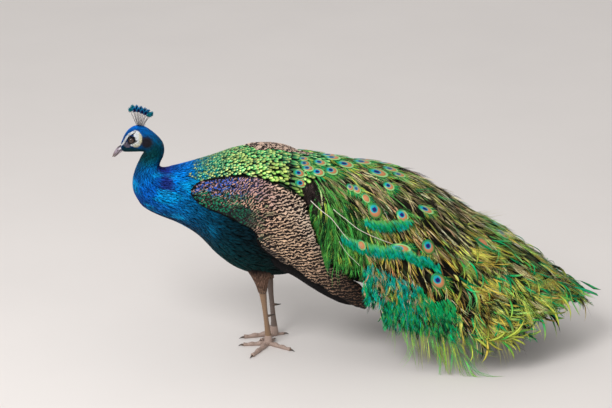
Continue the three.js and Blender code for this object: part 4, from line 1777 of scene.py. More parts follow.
    def toe(self, side: Side, toe: tuple) -> Shape:
        """One toe on the floor, with scutes across its top.

        Formula: circles along its way that taper by 34 percent and swell by a cosine at its joints, their
        middles raised towards the foot.

        Args:
            side: which foot.
            toe: its length, its angle from straight ahead, and its radius.

        Returns:
            The toe.
        """
        length, degrees, radius = toe
        heading, across = toe_way(side, degrees)
        foot = LEGS[side].foot
        joints = round(length / self.joint_gap)
        part, b = around(np.linspace(0, 1, int(length * 1.1)), 14)
        girth = radius * self.toe_girth * (1 - 0.34 * part) * (1 + 0.12 * np.cos(2 * np.pi * joints * part))
        scute = (part * length / self.toe_scute) % 1
        top = ease(0.1, 0.7, np.sin(b))
        lifted = girth * (0.97 + 0.05 * top * (1 - scute))
        axis = np.array([foot[0], side.value * foot[1], 0]) + heading * (length * part)[..., None]
        axis[..., 2] = girth * 0.82 + 7 * np.maximum(0, 1 - 5 * part) ** 2
        points = axis + across * (lifted * np.cos(b))[..., None]
        points[..., 2] += lifted * np.sin(b)
        points[..., 2] = np.maximum(points[..., 2], FLOOR_GAP)
        seam = 0.7 * top * ease(0.72, 0.95, scute)
        return loft(points, mix(srgb(*self.toe_tint), srgb(*self.seam_tint), seam))

    def ankle(self, side: Side) -> Shape:
        """The middle of the foot: level ellipses by the ankle's own list.

        Args:
            side: which foot.

        Returns:
            The ankle.
        """
        place, b = around(np.linspace(-0.1, len(ANKLE) - 1, 18), 20)
        z, depth, width = np.moveaxis(along(ANKLE, place), -1, 0)
        foot = LEGS[side].foot
        x = foot[0] + depth * np.cos(b)
        y = side.value * foot[1] + width * np.sin(b)
        return loft(np.stack([x, y, np.maximum(z, 0)], -1), srgb(*self.toe_tint))

    def build(self) -> bpy.types.Object:
        """All parts joined into one closed skin by booleans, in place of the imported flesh.

        Returns:
            The skin.
        """
        material = SkinFinish().material()
        shapes = [self.trunk()]
        for side in Side:
            shapes += [self.lids(side), self.thigh(side), self.shank(side), self.ankle(side)]
            shapes += [self.toe(side, toe) for toe in LEGS[side].toes]
        skin, *others = (
            make_object(f"skin_part_{index}", shape, material)
            for index, shape in enumerate(shapes)
        )
        for other in others:
            joint = skin.modifiers.new("join", "BOOLEAN")
            joint.operation = "UNION"
            joint.solver = "MANIFOLD"
            joint.object = other
            whole = bpy.data.meshes.new_from_object(skin.evaluated_get(bpy.context.evaluated_depsgraph_get()))
            skin.modifiers.clear()
            skin.data = whole
            bpy.data.objects.remove(other)
        skin.name = "skin"
        self.heal(skin.data)
        nodes = ["head", "neck_upper", "neck_lower", "breast", "trunk", "rump"]
        nodes += [f"{part}_{side.word}" for part in ("thigh", "shank", "foot") for side in Side]
        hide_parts(*nodes)
        LOG.info("skin: %d faces after joining", len(skin.data.polygons))
        return skin

    @staticmethod
    def heal(mesh: bpy.types.Mesh) -> None:
        """Gives the points on the seams, which the joining leaves white, the mean tint of their neighbours.

        Args:
            mesh: the joined skin's mesh.
        """
        count = len(mesh.vertices)
        tint = np.zeros(count * 4, np.float32)
        mesh.attributes["tint"].data.foreach_get("color", tint)
        tint = tint.reshape(-1, 4)
        edges = np.zeros(len(mesh.edges) * 2, np.int32)
        mesh.edges.foreach_get("vertices", edges)
        edges = edges.reshape(-1, 2)
        for _ in range(3):
            blank = (tint[:, :3] > 0.999).all(1)
            total, weight = np.zeros((count, 3)), np.zeros(count)
            for near, far in ((0, 1), (1, 0)):
                known = ~blank[edges[:, far]]
                np.add.at(total, edges[known, near], tint[edges[known, far], :3])
                np.add.at(weight, edges[known, near], 1)
            mend = blank & (weight > 0)
            tint[mend, :3] = (total[mend] / weight[mend, None]).astype(np.float32)
        mesh.attributes["tint"].data.foreach_set("color", tint.ravel())


# ---------------- head


@dataclass
class Eyes:
    """The two eyeballs."""

    rings: int = 40
    sides: int = 48
    tint: tuple = (60, 32, 20)

    def build(self) -> None:
        """A ball about each eye's centre, by the angle from the axis that points out to the side."""
        material = EyeFinish().material()
        tilt, turn = around(np.linspace(0.02, np.pi - 0.02, self.rings), self.sides)
        for side in Side:
            shape = loft(on_eye(side, EYE_RADIUS, tilt, turn), srgb(*self.tint))
            angles = np.concatenate([np.degrees(tilt).ravel(), [0, 180]])
            shape.grain = np.stack([angles, np.append(turn.ravel(), [0, 0]), np.zeros(len(angles))], -1)
            make_object(f"eyeball_{side.word}", shape, material, [f"eye_{side.word}"])


@dataclass
class Bill:
    """The two halves of the bill, with nostrils, a hooked tip and the end of the face's white stripe."""

    mouth: float = 0.66
    lower_edge: float = 0.72
    lower_end: float = 3.2
    nostril: tuple = (-333.6, 465.6)
    pale: tuple = (150, 136, 148)
    dark: tuple = (48, 40, 46)
    tip: tuple = (104, 84, 78)
    edge: tuple = (92, 66, 56)
    under: tuple = (70, 54, 50)

    def half(self, start: float, stop: float, end: float) -> Shape:
        """One half of the bill.

        Formula: each section is an ellipse between two parts of the bill's depth there, from its top to its
        bottom.

        Args:
            start: part of the depth at the half's top; 0 for the upper half.
            stop: part of the depth at its bottom.
            end: the last place along the bill's list.

        Returns:
            The half.
        """
        s, b = around(np.linspace(-0.12, end, 44), 32)
        top_x, top_z, bottom_x, bottom_z, half = np.moveaxis(along(BILL, s), -1, 0)
        middle, reach = (start + stop) / 2, (start - stop) / 2
        part = middle + reach * np.cos(b)
        x, z = top_x + (bottom_x - top_x) * part, top_z + (bottom_z - top_z) * part
        points = np.stack([x, half * np.sin(b), z], -1)
        tint = mix(srgb(*self.pale), srgb(*self.tip), ease(1.6, 3.6, s))
        if start == 0:
            ahead, above = x - self.nostril[0], z - self.nostril[1]
            slit = np.hypot(ahead * 0.8 + above * 0.5, above * 1.1)
            hollow = (1 - ease(0.6, 1.9, slit)) * (np.abs(points[..., 1]) > 2)
            points[..., 1] -= np.sign(points[..., 1]) * 1.1 * hollow
            tint = mix(tint, srgb(*self.dark), hollow)
            tint = mix(tint, srgb(*self.dark), (1 - ease(0.7, 1.9, s)) * (1 - ease(0.05, 0.2, part)))
            stripe = 0.8 * (1 - ease(0.1, 1.1, s)) * ease(0.18, 0.28, part) * (1 - ease(0.4, 0.52, part))
            tint = mix(tint, WHITE_SKIN, stripe)
            tint = mix(tint, srgb(*self.edge), 0.8 * ease(0.58, 0.65, part) * ease(0.3, 0.9, s))
        else:
            tint = mix(tint, srgb(*self.under), ease(0.2, 1.6, s) * 0.8)
        return loft(points, tint)

    def build(self) -> None:
        """Both halves."""
        material = HornFinish("bill_horn").material()
        upper = self.half(0, self.mouth, len(BILL) - 1)
        lower = self.half(self.lower_edge, 1, self.lower_end)
        make_object("bill_upper", upper, material, ["upper_bill"])
        make_object("bill_lower", lower, material, ["lower_bill"])


@dataclass
class Crest:
    """The fan of upright crest feathers: bare shafts, each with a flat tuft of short vanes at its end."""

    seed: int = 11
    root: tuple = (-284, 0, 520)
    shafts: int = 12
    foremost: float = -20.0
    rearmost: float = 33.0
    lengths: tuple = (53.0, 46.0)
    lean: float = 7.0
    vanes: int = 36
    vane_length: tuple = (4.8, 8.0)
    vane_turn: float = 1.75
    barbs: int = 15
    barb_length: float = 4.6
    shaft_tint: tuple = (20, 18, 30)
    barb_tint: tuple = (40, 40, 58)
    vane_root: tuple = (18, 14, 60)
    vane_end: tuple = (0, 146, 206)
    teal: tuple = (0, 118, 120)

    def shaft_lines(self) -> Lines:
        """The shafts.

        Formula: straight lines that fan out rearwards from the root and lean to the two sides in turn, bowed
        forwards by half a sine wave.

        Returns:
            The lines.
        """
        part = np.arange(self.shafts) / (self.shafts - 1)
        angle = np.radians(self.foremost + (self.rearmost - self.foremost) * part)
        lean = np.radians(self.lean) * np.where(np.arange(self.shafts) % 2, 1, -1)
        length = span(self.lengths, np.sin(part * np.pi / 2))
        way = np.stack([np.sin(angle) * np.cos(lean), np.sin(lean), np.cos(angle) * np.cos(lean)], -1)
        offset = np.stack([6.0 * (part - 0.4), 1.5 * np.sin(lean * 8), -3 - 4 * part**2], -1)
        normal = unit(np.cross(way, np.array([0.0, 1.0, 0.0])))
        spot = np.stack([0.1 + 0.8 * part, np.full_like(part, 0.1)], -1)
        reach = np.linspace(0, 1, 6) * (length[:, None] - 5)
        lines = Lines.straight(np.array(self.root) + offset, way, normal, reach, spot)
        bow = np.sin(np.linspace(0, np.pi, 6))[None, :, None] * np.array([-0.8, 0, 0])
        return replace(lines, points=lines.points + bow)

    def tufts(self, shafts: Lines, rng: Random) -> Shape:
        """The flat vanes at the shafts' ends.

        Formula: each vane's way turns from the shaft's by its place in the tuft, and the outer ones are
        shorter and start lower.

        Args:
            shafts: the shafts' lines.
            rng: source of their unevenness.

        Returns:
            The vanes.
        """
        count = self.shafts * self.vanes
        owner = np.repeat(np.arange(self.shafts), self.vanes)
        spread = np.tile(np.linspace(-1, 1, self.vanes), self.shafts) + rng.normal(0, 0.06, count)
        way, normal, side = (value[owner, -1] for value in (shafts.ways, shafts.normals, shafts.across))
        tilt = (spread * self.vane_turn)[:, None]
        heading = unit(way * np.cos(tilt) + normal * np.sin(tilt) + side * rng.normal(0, 0.16, (count, 1)))
        root = shafts.points[owner, -1] - way * (2.6 * np.abs(spread))[:, None] ** 1.2 * 1.4
        length = span(self.vane_length, np.cos(spread * 1.1) ** 2) * rng.uniform(0.85, 1.1, count)
        rings = np.linspace(0, 1, 4)
        ends = ease(0.3, 1.0, rings) * (1 - 0.5 * np.abs(spread)[:, None])
        tint = mix(srgb(*self.vane_root), srgb(*self.vane_end), ends)
        teal = (owner < 2) | (owner > self.shafts - 3)
        tint = mix(tint, srgb(*self.teal), 0.6 * teal[:, None])
        halves = np.repeat(np.array([[0.5, 0.75, 0.6, 0]]), count, 0)
        place = 0.05 + 0.9 * (owner + 0.5 + 0.4 * spread) / self.shafts
        spot = np.stack([place, 0.4 + 0.4 * rng.random(count)], -1)
        lines = Lines.straight(root, heading, side, length[:, None] * rings, spot)
        return ribbons(lines, halves, halves * 0.5, tint, rng.random(count))

    def twigs(self, shafts: Lines, rng: Random) -> Shape:
        """The sparse side barbs of the shafts, in straight lines before and behind them.

        Args:
            shafts: the shafts' lines.
            rng: source of their unevenness.

        Returns:
            The barbs.
        """
        owner = np.repeat(np.arange(self.shafts), self.barbs)
        at = np.tile(np.linspace(0.12, 0.92, self.barbs), self.shafts)
        start = shafts.points[owner, 0] + (shafts.points[owner, -1] - shafts.points[owner, 0]) * at[:, None]
        aside = shafts.normals[owner, 0] * rng.choice([-0.6, 0.6], (len(owner), 1))
        fork = unit(shafts.ways[owner, 0] * 0.8 + aside)
        reach = np.repeat(np.linspace(0, 1, 4)[None] * self.barb_length, len(owner), 0)
        lines = Lines.straight(start, fork, shafts.across[owner, 0], reach, shafts.spot[owner] + 0.01)
        thin = np.repeat(np.array([[0.24, 0.24, 0.2, 0]]), len(owner), 0)
        return ribbons(lines, thin, thin, srgb(*self.barb_tint), rng.random(len(owner)))

    def build(self) -> None:
        """Shafts, tufts and side barbs as one piece."""
        rng = np.random.default_rng(self.seed)
        lines = self.shaft_lines()
        half = np.broadcast_to(np.array([0.7, 0.6, 0.55, 0.5, 0.45, 0]), (self.shafts, 6))
        shafts = ribbons(lines, half, half * 1.4, srgb(*self.shaft_tint), rng.random(self.shafts))
        crest = Shape.joined([shafts, self.tufts(lines, rng), self.twigs(lines, rng)])
        material = FeatherFinish("crest_plumage", contrast=0.2, edge=0.0).material()
        make_object("crest_feathers", crest, material, ["crest"])


# ---------------- claws


@dataclass
class Claws:
    """The claws of each foot and the spur of each shank."""

    length: float = 12.0
    radius: float = 2.7
    spur_height: float = 75.0
    spur_length: float = 18.8
    spur_radius: float = 3.6
    root_tint: tuple = (96, 78, 66)
    tip_tint: tuple = (38, 30, 28)

    def tint(self, part: Array) -> Array:
        """Paler at the root."""
        return mix(srgb(*self.root_tint), srgb(*self.tip_tint), ease(0.1, 0.8, part))

    def claw(self, side: Side, toe: tuple) -> Shape:
        """A low arch that tapers on to the floor ahead of its toe.

        Args:
            side: which foot.
            toe: its toe's length, angle from straight ahead, and radius.

        Returns:
            The claw.
        """
        heading, across = toe_way(side, toe[1])
        foot = LEGS[side].foot
        part, b = around(np.linspace(-0.12, 1, 18), 14)
        girth = self.radius * (1 - 0.86 * np.maximum(part, 0) ** 1.15)
        reach = (toe[0] + self.length * part)[..., None]
        points = np.array([foot[0], side.value * foot[1], 0]) + heading * reach
        points = points + across * (0.8 * girth * np.cos(b))[..., None]
        rise = self.radius * 0.9 * (1 - part) + girth * part + 1.2 * np.sin(np.pi * np.clip(part, 0, 1))
        points[..., 2] = np.maximum(rise + girth * np.sin(b), FLOOR_GAP)
        return loft(points, self.tint(part))

    def spur(self, side: Side) -> Shape:
        """A blunt thorn behind the shank, of circles that shrink and rise by the square of their part.

        Args:
            side: which leg.

        Returns:
            The spur.
        """
        leg = LEGS[side]
        t = (leg.hock[2] - self.spur_height) / (leg.hock[2] - ANKLE_HEIGHT)
        x, y = (hock + (foot - hock) * t for hock, foot in zip(leg.hock, leg.foot))
        part, b = around(np.linspace(0, 1, 18), 16)
        girth = self.spur_radius * (1 - 0.85 * part**1.2)
        across = side.value * (y - 4 * part) + girth * np.cos(b)
        height = self.spur_height + 3 * part * part + girth * np.sin(b)
        return loft(np.stack([x + 2 + self.spur_length * part, across, height], -1), self.tint(part))

    def build(self) -> None:
        """One piece for each foot's claws and one for each spur."""
        material = HornFinish("claw_horn").material()
        for side in Side:
            claws = Shape.joined([self.claw(side, toe) for toe in LEGS[side].toes])
            nodes = [f"claw_{side.word}_{index}" for index in range(1, 5)]
            make_object(f"claws_{side.word}", claws, material, nodes)
            spur = self.spur(side)
            make_object(f"spur_horn_{side.word}", spur, material, [f"spur_{side.word}"])


# ---------------- coat of the body


@dataclass(frozen=True)
class Region:
    """A stretch of the body's coat.

    gaps are millimetres between roots, by station; sizes are the stations of the least and the largest
    feathers; under is how far the roots reach in behind the folded wing.
    """

    name: str
    stations: tuple
    angles: tuple
    gaps: tuple
    growth: Growth
    sizes: tuple
    under: float
    slot: str = "blue_plumage"


FULL_TURN = (-np.pi, np.pi)
REGIONS = (
    Region("neck", (4.9, 10.6), FULL_TURN, ((5, 10.5), (2.6, 4.2)),
           Growth((9, 17), (1.3, 2.3), lift=(0.2, 1.7)), (5, 10.5), np.inf),
    Region("breast", (10.4, 14.6), FULL_TURN, ((10.5, 14.5), (4.4, 6.2)),
           Growth((15, 26), (2.4, 3.9), lift=(0.2, 2.6)), (10.5, 14.5), 22),
    Region("belly", (14.4, 22.6), (np.radians(55), np.radians(305)), ((14, 17, 22), (6.2, 8.0, 7.0)),
           Growth((26, 36), (3.4, 4.8), lift=(0.2, 3.2), stray=0.16), (), 30, "rump_down"),
)


@dataclass
class BodyCoat:
    """The small feathers of head, neck, breast and belly, each region denser than the one behind it."""

    seed: int = 21
    head_gaps: tuple = ((0, 1, 5), (1.5, 1.9, 2.5))
    eye_clear: float = 8.6

    def tints(self, roots: tuple) -> tuple:
        """The body's colour at the roots, a little darker there than at the tips."""
        tint = body_tint(*roots, Body().point(*roots))
        return tint * 0.8, tint * 1.12

    def head(self) -> Shape:
        """Tiny flat feathers, none on the eye or lids, very short ones on the bare face.

        Returns:
            The feathers.
        """
        rng = np.random.default_rng(self.seed)
        roots = scatter(Body(), (0.12, 5.2), FULL_TURN, self.head_gaps, rng)
        points = Body().point(*roots)
        off = np.hypot(points[:, 0] - EYE_CENTRE[0], points[:, 2] - EYE_CENTRE[2])
        keep = (off > self.eye_clear) | (np.abs(points[:, 1]) < 8)
        roots, points = chosen(roots, keep), points[keep]
        bare = (patch_reach(points[:, 0], points[:, 2]) > -0.5) & (np.abs(points[:, 1]) > 4)
        kinds = []
        for growth, here in (
            (Growth((1.8, 2.8), (0.55, 0.75), lift=(0.0, 0.1), arch=0.1), bare),
            (Growth((3.6, 6.0), (0.9, 1.35), lift=(0.0, 0.7)), ~bare),
        ):
            some = chosen(roots, here)
            kinds.append(growth.on(Body(), some, lengthwise, self.tints(some), rng, some[0] / 5.2))
        return Shape.joined(kinds)

    def region(self, region: Region, rng: Random) -> Shape:
        """The feathers of a region, which all point the way the stations run.

        Args:
            region: where they root and how they grow.
            rng: source of their unevenness.

        Returns:
            The feathers.
        """
        roots = scatter(Body(), region.stations, region.angles, region.gaps, rng)
        if region.under < np.inf:
            roots = chosen(roots, ~under_wing(Body().point(*roots), region.under))
        size = (roots[0] - region.sizes[0]) / np.ptp(region.sizes) if region.sizes else 0.5
        return region.growth.on(Body(), roots, lengthwise, self.tints(roots), rng, size)

    def build(self) -> None:
        """Each region as its own piece."""
        silky = FeatherFinish("blue_plumage").material()
        dark = FeatherFinish("belly_plumage", roughness=0.55, metallic=0.15, contrast=0.45).material()
        make_object("coat_head", self.head(), silky)
        for order, region in enumerate(REGIONS, 1):
            shape = self.region(region, np.random.default_rng(self.seed + order))
            material = silky if region.slot == "blue_plumage" else dark
            make_object(f"coat_{region.name}", shape, material)


@dataclass
class Mantle:
    """Scale feathers of the back, in rows that grow larger rearwards, on to the front of the train."""

    seed: int = 31
    reach: float = 78.0
    front_gaps: tuple = ((12.7, 16, 20), (4.4, 6.0, 8.6))
    rear_gaps: tuple = ((0, 1.6), (8.4, 12))
    bridge_gaps: tuple = ((18.8, 19.7), (6.4, 6.4))
    rear_reach: tuple = ((0.2, 0.6, 1.0, 1.7), (1.1, 0.8, 0.56, 0.34))
    # Screen colours by place along the back, on the ridge and low on the side.
    stops: tuple = (
        (12.6, (0, 128, 172), (0, 122, 164)), (13.6, (24, 168, 150), (24, 156, 130)),
        (15.0, (56, 186, 124), (20, 150, 118)), (16.3, (70, 196, 108), (56, 172, 104)),
        (17.6, (64, 200, 124), (132, 200, 84)), (19.0, (72, 200, 124), (140, 202, 84)),
        (20.5, (76, 196, 112), (104, 190, 92)),
    )
    teal: tuple = (0, 122, 104)
    gold: tuple = (214, 216, 112)
    brown: tuple = (206, 176, 156)
    # Lower edge of the brown shoulder feathers beyond the ridge: x, y.
    beyond: tuple = ((-56, 10), (-44, -6), (-24, -22), (16, -13), (50, -9), (84, 6))

    def tint(self, place: Array, points: Array, rng: Random) -> Array:
        """Green to gold-green along the back, with patches and a chance for each feather.

        Args:
            place: the feathers' places along the back.
            points: their roots.
            rng: source of the chance.

        Returns:
            The colours.
        """
        places, *colours = zip(*self.stops)
        high, low = (blended(place, places, np.array([srgb(*colour) for colour in row])) for row in colours)
        tint = mix(high, low, ease(25, 70, np.abs(points[:, 1])))
        tint = mix(tint, srgb(*self.teal), 0.6 * ease(0.1, 0.9, mottle(points, 38, 3)))
        tint = mix(tint, srgb(*self.gold), 0.5 * (rng.random(len(place)) > 0.7))
        return tint * rng.uniform(0.75, 1.25, (len(place), 1))

    def far(self, points: Array) -> Array:
        """Whether points lie under the brown feathers of the other wing's shoulder."""
        edge = np.interp(points[:, 0], *np.array(self.beyond, float).T, left=1e3, right=1e3)
        return (points[:, 1] > edge) & (points[:, 2] > 400)

    def rows(self, rng: Random) -> list[tuple]:
        """Where the scales root: on the back, on a bridge over its end, and on the front of the train.

        Args:
            rng: source of the jitter.

        Returns:
            For each, the surface, the roots, their places along the back, their sizes and how they grow.
        """
        body, train, reach = Body(), Train(), np.radians(self.reach)
        front = scatter(body, (12.6, 19.9), (-reach, reach), self.front_gaps, rng, 0.3)
        points = body.point(*front)
        keep = ~under_wing(points, 3) & (points[:, 2] > 412 + 0.45 * np.maximum(points[:, 0] - 30, 0))
        keep &= (front[0] > 13.4) | (rng.random(len(points)) < ease(12.5, 13.4, front[0]))
        front = chosen(front, keep)
        rear = scatter(train, (-0.3, 1.7), (-1.08, 1.08), self.rear_gaps, rng, 0.16)
        rear = chosen(rear, np.abs(rear[1]) < np.interp(rear[0], *self.rear_reach))
        bridge = scatter(body, (18.8, 19.7), (-0.76 * reach, 0.76 * reach), self.bridge_gaps, rng, 0.35)
        bridge = chosen(bridge, ~under_wing(body.point(*bridge), 3))
        small = Growth((9, 17.5), (3.2, 6.2), ROUND, (0.4, 2.8), 0.3, columns=5, stray=0.2, uneven=0.12)
        over = Growth((18, 26), (4.8, 6.8), ROUND, (1.0, 9.0), 0.28, columns=5, stray=0.16, uneven=0.12)
        large = Growth((17, 25), (6, 8.6), ROUND, (2.2, 5.0), 0.28, columns=5, stray=0.06, uneven=0.06)
        return [
            (body, front, front[0], (front[0] - 12.6) / 7, small),
            (body, bridge, bridge[0], np.full(len(bridge[0]), 0.6), over),
            (train, rear, 18.6 + rear[0], rear[0] / 1.6, large),
        ]

    def build(self) -> None:
        """Mantle, the front of the train, and the brown shoulder feathers beyond the ridge."""
        rng = np.random.default_rng(self.seed)
        barred = Growth((16, 22), (4.6, 6), ROUND, (2.6, 5.6), 0.3, columns=5, stray=0.08, uneven=0.1)
        scales, brown = [], []
        for surface, roots, place, size, growth in self.rows(rng):
            points = surface.point(*roots)
            far = self.far(points)
            tint = self.tint(place[~far], points[~far], rng)
            green = chosen(roots, ~far)
            scales.append(growth.on(surface, green, lengthwise, (tint * 0.6, tint), rng, size[~far]))
            tan = srgb(*self.brown) * rng.uniform(0.8, 1.1, (far.sum(), 1))
            brown.append(barred.on(surface, chosen(roots, far), lengthwise, (tan * 0.9, tan), rng, 0.5))
        green = ScaleFinish("mantle_plumage").material()
        make_object("coat_mantle", Shape.joined(scales), green)
        finish = BarFinish("shoulder_plumage", period=6.0, cover=0.42, **NO_SHEEN)
        make_object("coat_shoulder", Shape.joined(brown), finish.material())


@dataclass
class Thighs:
    """Short hanging feathers of the thighs: black at the belly, tan towards the hock."""

    seed: int = 41
    top: tuple = (24, 20, 20)
    tan: tuple = (116, 90, 76)
    pale: tuple = (138, 114, 96)
    gaps: tuple = ((0, 1), (4.2, 2.4))

    def build(self) -> None:
        """One piece for each thigh."""
        finish = FeatherFinish("thigh_plumage", roughness=0.75, metallic=0.0, contrast=0.3, edge=0.2)
        material = finish.material()
        for side in Side:
            rng = np.random.default_rng(self.seed + side.value)
            surface = Thigh(side)
            roots = scatter(surface, (-0.05, 0.96), (0, 2 * np.pi), self.gaps, rng)
            height = surface.point(*roots)[:, 2]
            tint = mix(srgb(*self.top), srgb(*self.tan), ease(206, 178, height))
            tint = mix(tint, srgb(*self.pale), 0.7 * (1 - ease(140, 166, height)))
            tint = tint * (0.85 + 0.3 * rng.random((len(height), 1)))
            growth = Growth((6.5, 14), (1.0, 2.1), lift=(0.1, 1.2), stray=0.15)
            size = 1 - np.clip(roots[0], 0, 1)
            coat = growth.on(surface, roots, lengthwise, (tint * 0.75, tint * 1.1), rng, size)
            make_object(f"coat_thigh_{side.word}", coat, material)


# ---------------- wings and tail


@dataclass
class WingCoat:
    """The folded wings: a dark base and overlapping barred feathers, small in front and long behind."""

    seed: int = 51
    ground: tuple = (212, 178, 148)
    pale: tuple = (228, 208, 190)
    rose: tuple = (206, 156, 136)
    violet: tuple = (58, 66, 158)
    green: tuple = (26, 128, 76)
    shade: tuple = (10, 34, 44)
    end: tuple = (98, 72, 57)
    base_tint: tuple = (16, 14, 15)
    gaps: tuple = ((0, 0.3, 0.6, 1), (5.5, 9, 12, 10))
    margins: tuple = ((0, 0.2, 0.5, 0.7, 1), (3, 6, 10, 15, 13))
    shortest: float = 9.0

    def way(self, a: Array, b: Array, part: float, by_a: Array, by_b: Array) -> Array:
        """Rearwards over the shoulder, then down along the folded wing."""
        turn = ease(0.12, 0.5, a)
        return mix(np.array([1.0, 0, -0.12]), np.array([0.74, 0, -0.67]), turn)

    def tint(self, a: Array, b: Array, points: Array, rng: Random) -> Array:
        """Rosy buff in front with violet above and green below, buff behind, dark at the tip and low down.

        Args:
            a: the roots' places along the wing.
            b: their places down it.
            points: the roots.
            rng: source of the chance.

        Returns:
            The colours.
        """
        tint = mix(srgb(*self.rose), srgb(*self.ground), ease(0.2, 0.45, a))
        upper = ease(0.3, 0.55, a) * (1 - ease(0.1, 0.5, b)) * (1 - ease(0.7, 0.85, a))
        tint = mix(tint, srgb(*self.pale), 0.7 * upper)
        front = 1 - ease(0.26, 0.44, a)
        cloud = mottle(points, 12, 8)
        violet = (1 - ease(0.3, 0.46, b + 0.12 * cloud)) * front * 0.35 * rng.random(len(a))
        green = ease(0.22, 0.4, b + 0.12 * cloud) * front * 0.7 * (rng.random(len(a)) < 0.3)
        tint = mix(mix(tint, srgb(*self.violet), violet), srgb(*self.green), green)
        low = ease(0.6, 0.78, b + 0.5 * np.maximum(a - 0.12, 0) + 0.14 * cloud) * (1 - ease(0.27, 0.36, a))
        under = ease(0.84, 0.97, b + 0.06 * cloud) * (1 - ease(0.5, 0.62, a))
        spotted = 0.85 * (rng.random(len(a)) < 0.3) * ease(0.4, 0.6, b) * (1 - ease(0.25, 0.36, a))
        tint = mix(tint, srgb(*self.shade), np.maximum(low, np.maximum(under, spotted)))
        return mix(tint, srgb(*self.end), ease(0.5, 0.86, a))

    def base(self, side: Side) -> Shape:
        """The wing's body under its feathers: the outer face moved in, and the inner face.

        Args:
            side: which wing.

        Returns:
            The closed body.
        """
        wing = Wing(side)
        a, b = np.meshgrid(np.linspace(0.005, 0.985, 70), np.linspace(0.02, 0.98, 26), indexing="ij")
        points, _, _, normals = wing.slopes(a, b)
        inner = wing.inner(a, b)
        return shell(points - normals * 2.2, inner + normals * 0.4, srgb(*self.base_tint))

    def feathers(self, side: Side) -> Shape:
        """Rows from the wrist to the tip, none longer than what is left of the wing.

        Formula: the roots keep a margin from both edges, and a feather ends where its way would cross the
        tip, the lower edge or the upper edge.

        Args:
            side: which wing.

        Returns:
            The feathers.
        """
        rng = np.random.default_rng(self.seed + side.value)
        wing = Wing(side)
        roots = scatter(wing, (-0.005, 0.9), (0.0, 1.0), self.gaps, rng)
        margin = np.minimum(np.interp(roots[0], *self.margins) / wing.breadth(roots[0]), 0.45)
        roots = roots[0], 0.15 * margin + (1 - 1.25 * margin) * roots[1]
        point, by_a, by_b, _ = wing.slopes(*roots)
        step_a, step_b = wing.steer(by_a, by_b, self.way(*roots, 0, by_a, by_b))
        left = (0.96 - roots[0]) / np.maximum(step_a, 1e-5)
        down = np.where(step_b > 0, (1.0 - margin - roots[1]) / np.maximum(step_b, 1e-5), np.inf)
        up = np.where(step_b < 0, (roots[1] + 0.02) / np.maximum(-step_b, 1e-5), np.inf)
        limit = np.maximum(np.minimum(np.minimum(left, down), up), self.shortest)
        tint = self.tint(*roots, point, rng) * rng.uniform(0.85, 1.12, (len(point), 1))
        growth = Growth((14, 52), (3.4, 8.2), ROUND, (0.0, 2.6), 0.16, columns=5, stray=0.05, patch=0.03,
                        uneven=0.1)
        size = ease(-0.05, 0.62, roots[0])
        return growth.on(wing, roots, self.way, (tint * 0.9, tint), rng, size, limit)

    def build(self) -> None:
        """Both wings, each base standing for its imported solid."""
        barred = BarFinish("wing_plumage").material()
        plain = FeatherFinish("wing_base", roughness=0.7, metallic=0.0).material()
        for side in Side:
            base = self.base(side)
            make_object(f"wing_base_{side.word}", base, plain, [f"wing_{side.word}"])
            make_object(f"coat_wing_{side.word}", self.feathers(side), barred)


@dataclass
class FlightFeathers:
    """Black flight feathers that show in overlapping strips below each folded wing."""

    seed: int = 61
    count: int = 9
    half: float = 7.6
    # Place along each feather, part of the half width.
    outline: tuple = ((0, 0.1, 0.8, 0.94, 1), (0.5, 1, 1, 0.6, 0))
    tint: tuple = (9, 9, 11)
    edge: tuple = (24, 21, 22)

    def feathers(self, side: Side, rng: Random) -> Shape:
        """Long vanes, each starting a little lower and ending a little further back than the last.

        Args:
            side: which wing.
            rng: source of each one's chance.

        Returns:
            The vanes.
        """
        order, rings = np.linspace(0, 1, self.count)[:, None], np.linspace(0, 1, 22)
        a = 0.1 * order + (0.62 + 0.2 * order) * rings
        b = (0.32 + 0.5 * order) + 0.05 * np.sin(rings * np.pi)
        lines = Lines.laid(Flight(side), a, b).raised(1.2 * rings - 0.4 * order)
        halves = np.broadcast_to(self.half * np.interp(rings, *self.outline), a.shape)
        tint = mix(srgb(*self.tint), srgb(*self.edge), ease(0.6, 1, rings))
        return ribbons(lines, halves, halves * 0.12, tint, rng.random(self.count), 5, 0.05)

    def base(self, side: Side) -> Shape:
        """A thin sheet under the vanes, moved in from their surface.

        Args:
            side: which wing.

        Returns:
            The closed sheet.
        """
        a, b = np.meshgrid(np.linspace(0, 0.93, 40), np.linspace(0.05, 0.86, 8), indexing="ij")
        points, _, _, normals = Flight(side).slopes(a, b)
        return shell(points - normals * 1.4, points - normals * 3.4, srgb(*self.tint))

    def build(self) -> None:
        """One piece below each wing."""
        looks = {"roughness": 0.6, "metallic": 0.0, "barbs": 1.0, "contrast": 0.3, "edge": 0.35}
        material = FeatherFinish("flight_feathers", **looks).material()
        for side in Side:
            vanes = self.feathers(side, np.random.default_rng(self.seed + side.value))
            shape, nodes = Shape.joined([self.base(side), vanes]), [f"flight_{side.word}"]
            make_object(f"flight_feathers_{side.word}", shape, material, nodes)


